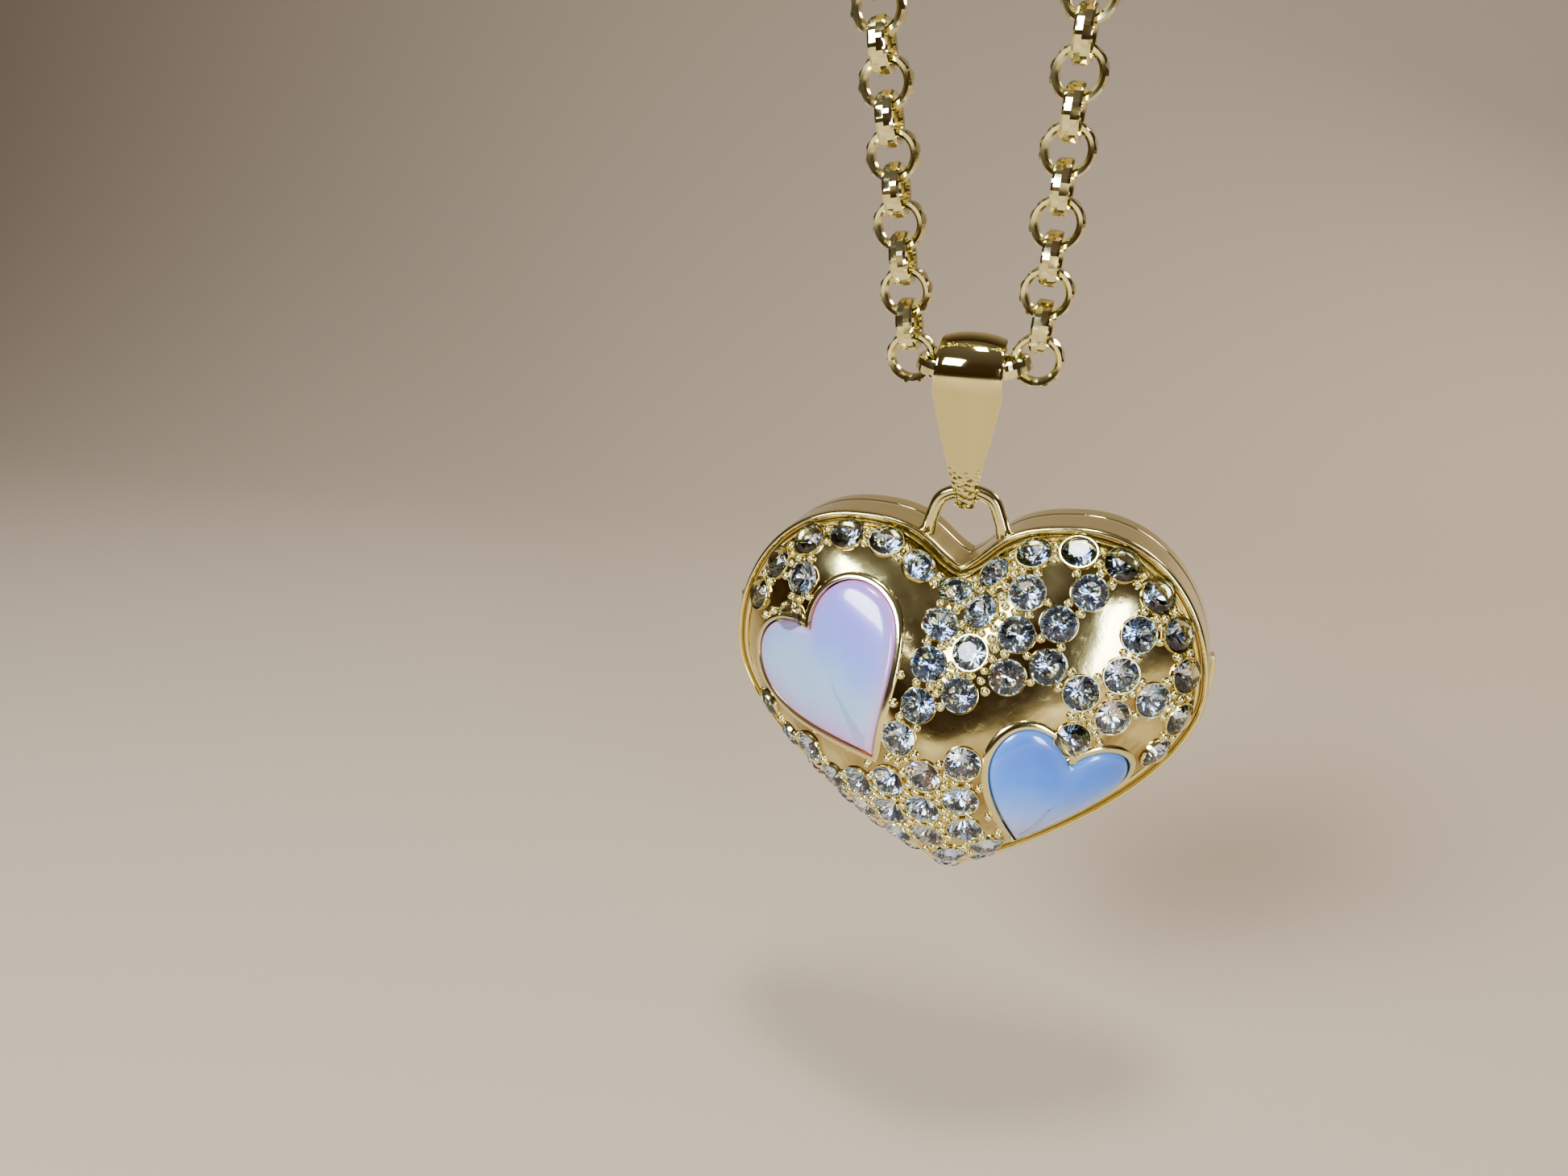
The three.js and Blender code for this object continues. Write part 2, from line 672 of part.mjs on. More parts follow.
function thumbTab() {
  const half = THUMB_TAB_WIDTH / 2;
  const middle = (BACK_SEAM + WALL_DEPTH - COVER_ROUND) / 2;
  const outline = new THREE.Shape();
  outline.moveTo(HALF_WIDTH - 1, -half);
  outline.lineTo(HALF_WIDTH + 0.3 * THUMB_TAB_REACH, -half);
  outline.quadraticCurveTo(HALF_WIDTH + THUMB_TAB_REACH, -half, HALF_WIDTH + THUMB_TAB_REACH, 0);
  outline.quadraticCurveTo(
    HALF_WIDTH + THUMB_TAB_REACH,
    half,
    HALF_WIDTH + 0.3 * THUMB_TAB_REACH,
    half,
  );
  outline.lineTo(HALF_WIDTH - 1, half);
  outline.closePath();
  const geometry = new THREE.ExtrudeGeometry(outline, {
    depth: THUMB_TAB_THICK,
    bevelEnabled: false,
    curveSegments: 6,
  });
  geometry.rotateX(Math.PI / 2);
  geometry.translate(0, middle + THUMB_TAB_THICK / 2, -WIDEST_DROP);
  return solidOf(geometry).subtract(outerWall(SOLDER_GAP));
}

// The catch is a sprung tongue on the cover's inner wall that reaches into the front half.
const CATCH_OUT = HALF_WIDTH - WALL - 0.08;

function catchTongue() {
  const half = CATCH_WIDTH / 2;
  const strip = box(
    V(CATCH_OUT - CATCH_THICK, FRONT_SEAM - CATCH_REACH, -WIDEST_DROP - half),
    V(CATCH_OUT, COVER_FLOOR - SOLDER_GAP, -WIDEST_DROP + half),
  );
  const inner = heartPlate(WALL + SOLDER_GAP, -1, WALL_DEPTH);
  return solidOf(strip).intersect(inner);
}

const catchClearance = () => {
  const room = 0.12;
  const half = CATCH_WIDTH / 2 + room;
  return solidOf(box(
    V(CATCH_OUT - CATCH_THICK - room, FRONT_SEAM - CATCH_REACH - room, -WIDEST_DROP - half),
    V(HALF_WIDTH, COVER_FLOOR, -WIDEST_DROP + half),
  ));
};

// ---------------------------------------------------------------- photo frames, windows, cards
// The stack of one half: frame nearest the seam, then window, then card.
function insertStack(parent, half, seam, inward) {
  const inset = WALL + INSERT_GAP;
  const layer = (from, thick) => {
    const a = seam + inward * from;
    const b = seam + inward * (from + thick);
    return [Math.min(a, b), Math.max(a, b)];
  };
  const frameSpan = layer(STACK_GAP, FRAME_THICK);
  const windowSpan = layer(2 * STACK_GAP + FRAME_THICK, WINDOW_THICK);
  const cardSpan = layer(3 * STACK_GAP + FRAME_THICK + WINDOW_THICK, CARD_THICK - STACK_GAP);
  const cut = (solid) => geometryOf(solid.subtract(catchClearance()));
  const frame = cut(heartPlate(inset, ...frameSpan, inset + FRAME_WIDTH));
  piece(parent, `${half}_photo_frame`, frame, FINISH.gold());
  piece(parent, `${half}_window`, cut(heartPlate(inset, ...windowSpan)), FINISH.clear());
  piece(parent, `${half}_photo_card`, cut(heartPlate(inset, ...cardSpan)), FINISH.paper());
}

// ---------------------------------------------------------------- a strip bent along a side view
// Sweeps a crowned strip along stations of { y, z, width, thick }: the crowned side is on the left
// hand of the way travelled when seen from +X.
function bentStrip(stations, crown) {
  const rings = stations.map((station, k) => {
    const before = stations[Math.max(k - 1, 0)];
    const after = stations[Math.min(k + 1, stations.length - 1)];
    const way = V(0, after.y - before.y, after.z - before.z).normalize();
    const out = V(0, way.z, -way.y);
    const half = station.width / 2;
    const middle = V(0, station.y, station.z);
    const at = (x, h) => middle.clone().add(V(x, 0, 0)).addScaledVector(out, h);
    const t = station.thick / 2;
    const c = crown * (station.width / BAIL_WIDTH);
    return [
      at(-half, -t), at(-half, t - c), at(-0.8 * half, t - 0.4 * c), at(-0.4 * half, t - 0.08 * c),
      at(0, t), at(0.4 * half, t - 0.08 * c), at(0.8 * half, t - 0.4 * c), at(half, t - c),
      at(half, -t), at(0, -t),
    ];
  });
  return loft(rings);
}

const BAIL_EYE_RADIUS = LINK_RADIUS + BAIL_EYE_GAP;

// The bail in its own frame: the loop wire's middle at the origin, the chain's central link at
// the height BAIL_LENGTH.
function bailGeometry() {
  const eye = BAIL_EYE_RADIUS + BAIL_THICK / 2;
  const hook = BAIL_HOOK_RADIUS + BAIL_THICK / 2;
  const stations = [];
  const add = (y, z, width, thick = BAIL_THICK) => stations.push({ y, z, width, thick });
  const legEnd = BAIL_LENGTH - BAIL_LEG_DROP;
  add(0.74 * eye, legEnd, BAIL_SHARES.leg * BAIL_WIDTH);
  add(0.84 * eye, legEnd + 0.4 * BAIL_LEG_DROP, BAIL_SHARES.knee * BAIL_WIDTH);
  const { lerp, mapLinear } = THREE.MathUtils;
  for (let degrees = -18; degrees <= 198; degrees += 18) {
    const turn = rad(degrees);
    const widen = degrees < 90
      ? mapLinear(degrees, -18, 90, BAIL_SHARES.eyeBack, BAIL_SHARES.eyeTop)
      : mapLinear(degrees, 90, 198, BAIL_SHARES.eyeTop, 1);
    add(eye * Math.cos(turn), BAIL_LENGTH + eye * Math.sin(turn), widen * BAIL_WIDTH);
  }
  const bladeTop = stations.at(-1);
  const steps = 6;
  for (let k = 1; k < steps; k += 1) {
    const share = k / steps;
    const y = lerp(bladeTop.y, -hook, share ** 0.9);
    const z = lerp(bladeTop.z, 0.2, share);
    add(y, z, lerp(BAIL_WIDTH, BAIL_TIP_WIDTH, share ** 1.1));
  }
  for (let degrees = 180; degrees <= 370; degrees += 24) {
    const turn = rad(degrees);
    add(hook * Math.cos(turn), hook * Math.sin(turn), BAIL_TIP_WIDTH, 0.8 * BAIL_THICK);
  }
  return bentStrip(stations, BAIL_CROWN);
}

// ---------------------------------------------------------------- the loop over the cleft
function topLoop() {
  const path = new THREE.CatmullRomCurve3([
    V(-LOOP_HALF_WIDTH - 0.75, LOOP_BACK, -2.4),
    V(-LOOP_HALF_WIDTH - 0.3, LOOP_BACK, -1.2),
    V(-LOOP_HALF_WIDTH, LOOP_BACK, -0.1),
    V(-0.72 * LOOP_HALF_WIDTH, LOOP_BACK, 0.7 * LOOP_RISE),
    V(0, LOOP_BACK, LOOP_RISE),
    V(0.72 * LOOP_HALF_WIDTH, LOOP_BACK, 0.7 * LOOP_RISE),
    V(LOOP_HALF_WIDTH, LOOP_BACK, -0.1),
    V(LOOP_HALF_WIDTH + 0.3, LOOP_BACK, -1.2),
    V(LOOP_HALF_WIDTH + 0.75, LOOP_BACK, -2.4),
  ]);
  const section = new THREE.Shape();
  section.absellipse(0, 0, LOOP_WIRE / 2, LOOP_DEPTH / 2, 0, 2 * Math.PI);
  const rings = [];
  const steps = 24;
  for (let k = 0; k <= steps; k += 1) {
    const middle = path.getPoint(k / steps);
    const way = path.getTangent(k / steps);
    const out = V(-way.z, 0, way.x);
    rings.push(section.getPoints(5).slice(0, -1).map((p) => middle.clone()
      .addScaledVector(out, p.x)
      .add(V(0, p.y, 0))));
  }
  return solidOf(loft(rings)).subtract(outerWall(SOLDER_GAP));
}

// ---------------------------------------------------------------- chain links
const LINK_BORE = LINK_RADIUS - LINK_WIRE;
const LINK_PITCH = 2 * (LINK_BORE - LINK_PLAY / 2);

function linkGeometry() {
  const half = LINK_WIDTH / 2;
  const profile = [
    [LINK_BORE, -0.4 * half], [LINK_BORE + 0.4 * LINK_WIRE, -half], [LINK_RADIUS, -0.7 * half],
    [LINK_RADIUS, 0.7 * half], [LINK_BORE + 0.4 * LINK_WIRE, half], [LINK_BORE, 0.4 * half],
    [LINK_BORE, -0.4 * half],
  ];
  return new THREE.LatheGeometry(profile.map(([r, h]) => new THREE.Vector2(r, h)), LINK_SIDES);
}

function ringGeometry(radius, wire, sides = 18, around = 6) {
  return new THREE.TorusGeometry(radius - wire / 2, wire / 2, around, sides).rotateX(Math.PI / 2);
}

// Places a ring: across is the way through its hole, along the way the chain runs.
function placeRing(mesh, centre, along, across) {
  const third = along.clone().cross(across).normalize();
  mesh.setRotationFromMatrix(new THREE.Matrix4().makeBasis(along, across, third));
  mesh.position.copy(centre);
}

const FACING = V(0, 1, 0);

// One run of links outwards from the central link; side is -1 or 1. Returns where it ended.
function chainRun(parent, name, side, count) {
  let centre = V(0, 0, 0);
  let way = V(side, 0, 0);
  for (let k = 0; k < count; k += 1) {
    const steep = Math.PI / 2 - RUN_SPREAD;
    const rise = [RUN_FIRST_RISE, RUN_SECOND_RISE][k] ?? steep;
    way = V(side * Math.cos(rise), 0, Math.sin(rise));
    centre = centre.clone().addScaledVector(way, LINK_PITCH);
    const lie = k === 0 ? (RUN_FIRST_RISE + RUN_SECOND_RISE) / 2 : rise;
    const along = V(side * Math.cos(lie), 0, Math.sin(lie));
    const edgeOn = k % 2 === 0;
    const across = edgeOn ? along.clone().cross(FACING) : FACING;
    const number = String(k + 1).padStart(2, '0');
    const link = piece(parent, `link_${name}_${number}`, linkGeometry(), FINISH.gold());
    placeRing(link, centre, along, across);
  }
  return { centre, way };
}

// ---------------------------------------------------------------- the clasp
// The clasp in its own frame: the eye's hole at the origin, X along it to the hook.
function claspBodySolid(length, trigger) {
  const eyeOuter = CLASP_EYE_HOLE + CLASP_EYE_WALL;
  const hookOuter = CLASP_HOOK_HOLE + CLASP_HOOK_WALL;
  const plate = (shape, thick) => {
    const geometry = new THREE.ExtrudeGeometry(shape, {
      depth: thick,
      bevelEnabled: false,
      curveSegments: 14,
    });
    return solidOf(geometry.rotateX(Math.PI / 2).translate(0, thick / 2, 0));
  };
  const disc = (x, radius, thick) => {
    const shape = new THREE.Shape();
    shape.absarc(x, 0, radius, 0, 2 * Math.PI);
    return plate(shape, thick);
  };
  const stem = new THREE.Shape();
  stem.moveTo(0.2, 0.75 * eyeOuter);
  stem.quadraticCurveTo(0.4 * length, 1.25 * eyeOuter, length, hookOuter);
  stem.lineTo(length, CLASP_HOOK_HOLE);
  stem.lineTo(trigger.x, -1.35);
  stem.lineTo(0.6 * trigger.x, -1.35);
  stem.quadraticCurveTo(0.4 * trigger.x, -1.1, 0.2, -0.75 * eyeOuter);
  stem.closePath();
  const gate = box(
    V(trigger.x - 0.2, -CLASP_THICK, -hookOuter - 1),
    V(length + 0.2 * CLASP_HOOK_HOLE, CLASP_THICK, -0.15),
  );
  const arm = disc(length, hookOuter, CLASP_THICK)
    .subtract(disc(length, CLASP_HOOK_HOLE, CLASP_THICK + 1));
  const openArm = arm.subtract(solidOf(gate));
  const slot = box(
    V(1.2 * eyeOuter, -CLASP_SLOT / 2, -hookOuter),
    V(length - CLASP_HOOK_HOLE + 0.2, CLASP_SLOT / 2, trigger.z + 1.0),
  );
  return plate(stem, CLASP_THICK)
    .subtract(disc(length, CLASP_HOOK_HOLE, CLASP_THICK + 1))
    .add(openArm)
    .add(disc(0, eyeOuter, CLASP_EYE_THICK))
    .subtract(disc(0, CLASP_EYE_HOLE, CLASP_THICK + 1))
    .subtract(solidOf(slot))
    .subtract(solidOf(rod(
      V(trigger.x, -CLASP_THICK, trigger.z),
      V(trigger.x, CLASP_THICK, trigger.z),
      CLASP_PIN_RADIUS + CLASP_PIN_GAP,
    )));
}

// The trigger's free end is an arc about its pin, so that it swings clear of the open arm.
function claspTriggerSolid(length, trigger) {
  const thick = CLASP_SLOT - 2 * CLASP_SIDE_GAP;
  const shape = new THREE.Shape();
  const reach = length + 0.2 * CLASP_HOOK_HOLE - CLASP_SIDE_GAP - trigger.x;
  const end = (z) => [trigger.x + Math.sqrt(reach ** 2 - (z - trigger.z) ** 2), z];
  shape.moveTo(trigger.x - 0.7, trigger.z + 0.3);
  shape.lineTo(trigger.x + 0.2, trigger.z + 0.62);
  shape.quadraticCurveTo(trigger.x + 1.1, trigger.z + 0.1, trigger.x + 1.6, -CLASP_HOOK_HOLE);
  shape.lineTo(...end(-CLASP_HOOK_HOLE - 0.05));
  shape.lineTo(...end(-CLASP_HOOK_HOLE - 0.35));
  shape.lineTo(...end(-CLASP_HOOK_HOLE - 0.7));
  shape.quadraticCurveTo(trigger.x + 1.2, -2.75, trigger.x + 0.2, trigger.z - 0.62);
  shape.lineTo(trigger.x - 1.4, trigger.z - 2.1);
  shape.lineTo(trigger.x - 1.75, trigger.z - 1.6);
  shape.lineTo(trigger.x - 0.62, trigger.z - 0.4);
  shape.closePath();
  const geometry = new THREE.ExtrudeGeometry(shape, {
    depth: thick,
    bevelEnabled: false,
    curveSegments: 6,
  });
  return solidOf(geometry.rotateX(Math.PI / 2).translate(0, thick / 2, 0)).subtract(solidOf(rod(
    V(trigger.x, -CLASP_THICK, trigger.z),
    V(trigger.x, CLASP_THICK, trigger.z),
    CLASP_PIN_RADIUS + CLASP_PIN_GAP,
  )));
}

// A short coil that pushes the trigger shut, lying along X in the body's slot.
function claspSpring(start, turns, pitch) {
  class Coil extends THREE.Curve {
    getPoint(share) {
      const turn = 2 * Math.PI * turns * share;
      return V(
        start.x + pitch * turns * share,
        start.y + SPRING_RADIUS * Math.cos(turn),
        start.z + SPRING_RADIUS * Math.sin(turn),
      );
    }
  }
  const section = new THREE.Shape();
  section.absarc(0, 0, SPRING_WIRE / 2, 0, 2 * Math.PI);
  return new THREE.ExtrudeGeometry(section, {
    extrudePath: new Coil(),
    steps: 9 * turns,
    curveSegments: 2,
    bevelEnabled: false,
  });
}

function addClasp(parent, eye, hookCentre) {
  const clasp = new THREE.Group();
  const span = hookCentre.clone().sub(eye);
  clasp.position.copy(eye);
  clasp.rotation.y = -Math.atan2(span.z, span.x);
  parent.add(clasp);
  const length = span.length();
  const trigger = { x: length - CLASP_HOOK_HOLE - CLASP_PIN_BACK, z: -CLASP_PIN_DROP };
  piece(clasp, 'clasp_body', geometryOf(claspBodySolid(length, trigger)), FINISH.gold());
  piece(clasp, 'clasp_trigger', geometryOf(claspTriggerSolid(length, trigger)), FINISH.gold());
  const ends = CLASP_THICK / 2 - CLASP_PIN_GAP;
  const pin = rod(V(trigger.x, -ends, trigger.z), V(trigger.x, ends, trigger.z), CLASP_PIN_RADIUS, 12);
  piece(clasp, 'clasp_pin', pin, FINISH.steel());
  const springLength = trigger.x - 0.85 - 1.35 * (CLASP_EYE_HOLE + CLASP_EYE_WALL);
  const turns = 4;
  const spring = claspSpring(
    V(1.3 * (CLASP_EYE_HOLE + CLASP_EYE_WALL), 0, trigger.z + 0.1),
    turns,
    springLength / turns,
  );
  piece(clasp, 'clasp_spring', spring, FINISH.steel());
}

// ---------------------------------------------------------------- assembly
const necklace = new THREE.Group();

const locket = new THREE.Group();
necklace.add(locket);
const pinkFrame = inlayFrame(INLAYS.pink);
const blueFrame = inlayFrame(INLAYS.blue);
piece(locket, 'front_shell', geometryOf(frontShell([pinkFrame, blueFrame])), FINISH.gold());
piece(locket, 'pink_pearl_heart', inlayGeometry(pinkFrame), FINISH.pinkPearl());
piece(locket, 'blue_pearl_heart', inlayGeometry(blueFrame), FINISH.bluePearl());
piece(locket, 'top_loop', geometryOf(topLoop()), FINISH.gold());
insertStack(locket, 'front', FRONT_SEAM, -1);
piece(locket, 'back_cover', geometryOf(backCover()), FINISH.gold());
piece(locket, 'thumb_tab', geometryOf(thumbTab()), FINISH.gold());
piece(locket, 'catch_tongue', geometryOf(catchTongue()), FINISH.darkGold());
insertStack(locket, 'back', BACK_SEAM, 1);
const pinEnds = [knuckleSpan(0)[0] - 0.1, knuckleSpan(KNUCKLES - 1)[1] + 0.1];
piece(
  locket,
  'hinge_pin',
  rod(V(HINGE_X, SEAM_DEPTH, pinEnds[0]), V(HINGE_X, SEAM_DEPTH, pinEnds[1]), HINGE_PIN_RADIUS, 12),
  FINISH.darkGold(),
);

const bailGroup = new THREE.Group();
bailGroup.position.set(0, LOOP_BACK, LOOP_RISE);
bailGroup.rotation.set(BAIL_LEAN, BAIL_SWAY, 0, 'XYZ');
necklace.add(bailGroup);
piece(bailGroup, 'bail', bailGeometry(), FINISH.gold());

const chain = new THREE.Group();
bailGroup.updateMatrix();
chain.position.copy(V(0, 0, BAIL_LENGTH).applyMatrix4(bailGroup.matrix));
chain.rotation.x = CHAIN_LEAN;
necklace.add(chain);
placeRing(piece(chain, 'link_centre', linkGeometry(), FINISH.gold()), V(0, 0, 0), V(1, 0, 0), FACING);
const left = chainRun(chain, 'left', -1, RUN_LINKS.left);
const right = chainRun(chain, 'right', 1, RUN_LINKS.right);

// The right run ends in a plain ring, and the left run turns the corner to the clasp's own ring.
const ringBore = RING_RADIUS - RING_WIRE;
const ringStep = LINK_BORE + ringBore - LINK_PLAY;
const endRing = piece(chain, 'end_ring', ringGeometry(RING_RADIUS, RING_WIRE), FINISH.gold());
const endRingCentre = right.centre.clone().addScaledVector(right.way, ringStep);
placeRing(endRing, endRingCentre, right.way, right.way.clone().cross(FACING));
const hookFloor = Math.sqrt(CLASP_HOOK_HOLE ** 2 - (CLASP_SEAT_X + RING_WIRE / 2) ** 2);
const ringChord = (thick) => Math.sqrt(ringBore ** 2 - (thick / 2) ** 2);
const hookCentre = endRingCentre.clone()
  .add(V(-CLASP_SEAT_X, 0, hookFloor + ringChord(CLASP_THICK) - LINK_PLAY));
const acrossWay = hookCentre.clone().sub(left.centre).normalize();
const jumpRing = piece(chain, 'jump_ring', ringGeometry(RING_RADIUS, RING_WIRE), FINISH.gold());
const jumpRingCentre = left.centre.clone().addScaledVector(acrossWay, ringStep);
placeRing(jumpRing, jumpRingCentre, acrossWay, acrossWay.clone().cross(FACING));
const eyeCentre = jumpRingCentre.clone()
  .addScaledVector(acrossWay, ringChord(CLASP_EYE_THICK) + CLASP_EYE_HOLE - LINK_PLAY);
addClasp(chain, eyeCentre, hookCentre);

// The origin is the point halfway between the two ends of the chain, at the clasp.
chain.updateMatrix();
const hangPoint = left.centre.clone().add(hookCentre).multiplyScalar(0.5).applyMatrix4(chain.matrix);
necklace.position.copy(hangPoint).negate();

const locketNecklace = new THREE.Group();
locketNecklace.add(necklace);

export default locketNecklace;
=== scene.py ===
"""A puffed heart locket with crystals and two mother-of-pearl hearts, on its bail and belcher chain.

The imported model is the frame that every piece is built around.  Sizes in the classes are
millimetres, and the locket's own frame has X across, Z up from the top of the lobes and Y back
from the plane of the front rim.
"""

import logging
import math
import random
from collections.abc import Iterable, Sequence
from dataclasses import dataclass, field
from enum import Enum
from functools import cache

import bmesh
import bpy
import numpy as np
from mathutils import Matrix, Vector
from mathutils.geometry import delaunay_2d_cdt


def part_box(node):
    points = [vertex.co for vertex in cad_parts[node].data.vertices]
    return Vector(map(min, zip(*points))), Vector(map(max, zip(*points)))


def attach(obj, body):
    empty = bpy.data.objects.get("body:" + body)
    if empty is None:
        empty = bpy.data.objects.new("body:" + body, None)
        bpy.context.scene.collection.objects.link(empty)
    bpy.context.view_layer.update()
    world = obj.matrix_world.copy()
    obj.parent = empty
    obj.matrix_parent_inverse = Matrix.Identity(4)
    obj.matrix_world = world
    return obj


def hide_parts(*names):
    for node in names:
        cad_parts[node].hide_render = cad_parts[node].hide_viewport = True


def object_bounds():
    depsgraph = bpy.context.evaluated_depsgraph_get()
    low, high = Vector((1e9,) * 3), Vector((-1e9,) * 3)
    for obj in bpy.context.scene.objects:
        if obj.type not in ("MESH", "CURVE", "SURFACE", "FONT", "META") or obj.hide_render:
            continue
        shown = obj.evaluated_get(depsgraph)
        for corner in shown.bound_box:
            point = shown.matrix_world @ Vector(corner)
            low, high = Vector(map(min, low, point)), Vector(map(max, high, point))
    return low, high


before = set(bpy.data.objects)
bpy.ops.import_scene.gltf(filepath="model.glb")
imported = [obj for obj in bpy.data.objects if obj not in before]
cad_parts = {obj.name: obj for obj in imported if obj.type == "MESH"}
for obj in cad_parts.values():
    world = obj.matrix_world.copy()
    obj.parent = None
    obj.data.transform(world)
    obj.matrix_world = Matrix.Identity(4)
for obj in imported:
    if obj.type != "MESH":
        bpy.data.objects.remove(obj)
CAD_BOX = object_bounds()

LOG = logging.getLogger("locket")
MM = 0.001
TAU = 2 * math.pi
Array = np.ndarray
Color = tuple[float, float, float]
Feed = bpy.types.NodeSocket | float | Color


class Body(Enum):
    """The moving bodies that pieces ride on."""

    CHAIN = "chain"
    TRIGGER = "clasp_trigger"
    BAIL = "bail"
    LOCKET = "locket"
    COVER = "back_cover"


class Slot(Enum):
    """The finishes that the record names."""

    GOLD = "gold_plate"
    INNER_GOLD = "inner_gold"
    STEEL = "spring_steel"
    PINK = "pink_pearl"
    BLUE = "blue_pearl"
    WINDOW = "clear_window"
    CARD = "photo_card"


# ------------------------------------------------------------------------------ node helpers
class Wiring:
    """Short-hand for adding and joining the nodes of one tree."""

    def __init__(self, tree: bpy.types.NodeTree) -> None:
        """Keeps the tree that the nodes go into."""
        self.tree = tree

    def add(self, kind: str, inputs: dict | None = None, **settings: object) -> bpy.types.Node:
        """Adds a node.

        Args:
            kind: the node's type name without its ShaderNode prefix.
            inputs: values or sockets for its inputs, by name or by number.
            settings: properties of the node itself.

        Returns:
            The new node.
        """
        node = self.tree.nodes.new(kind if kind.startswith("Node") else "ShaderNode" + kind)
        for name, value in settings.items():
            setattr(node, name, value)
        for name, value in (inputs or {}).items():
            if isinstance(value, bpy.types.NodeSocket):
                self.tree.links.new(value, node.inputs[name])
            else:
                node.inputs[name].default_value = value
        return node

    def math(self, operation: str, *values: Feed) -> bpy.types.NodeSocket:
        """Adds a Math node and returns its result."""
        return self.add("Math", dict(enumerate(values)), operation=operation).outputs[0]

    def ramp(self, value: bpy.types.NodeSocket, stops: Sequence[tuple]) -> bpy.types.NodeSocket:
        """Maps a value to a colour.

        Args:
            value: the socket that is read, from 0 to 1.
            stops: pairs of place and RGB colour, in order.

        Returns:
            The colour socket.
        """
        node = self.add("ValToRGB", {0: value})
        marks = node.color_ramp.elements
        while len(marks) < len(stops):
            marks.new(0.5)
        for mark, (place, color) in zip(marks, stops):
            mark.position = place
            mark.color = (*color, 1.0)
        return node.outputs[0]

    def mix(self, share: Feed, first: Feed, second: Feed) -> bpy.types.NodeSocket:
        """Mixes two colours by a share and returns the result."""
        node = self.add("Mix", data_type="RGBA")
        for name, value in (("Factor", share), ("A", first), ("B", second)):
            socket = next(s for s in node.inputs if s.name == name and s.enabled)
            if isinstance(value, bpy.types.NodeSocket):
                self.tree.links.new(value, socket)
            else:
                socket.default_value = value if name == "Factor" else (*value, 1.0)
        return next(s for s in node.outputs if s.enabled)

    def group(self, tree: bpy.types.NodeTree, **values: Feed) -> bpy.types.Node:
        """Places a shared effect with its own values.

        Args:
            tree: the effect's node group.
            values: its inputs by name, with _ for a space.

        Returns:
            The group node.
        """
        node = self.add("Group")
        node.node_tree = tree
        for name, value in values.items():
            socket = node.inputs[name.replace("_", " ")]
            if isinstance(value, bpy.types.NodeSocket):
                self.tree.links.new(value, socket)
            else:
                socket.default_value = value
        return node


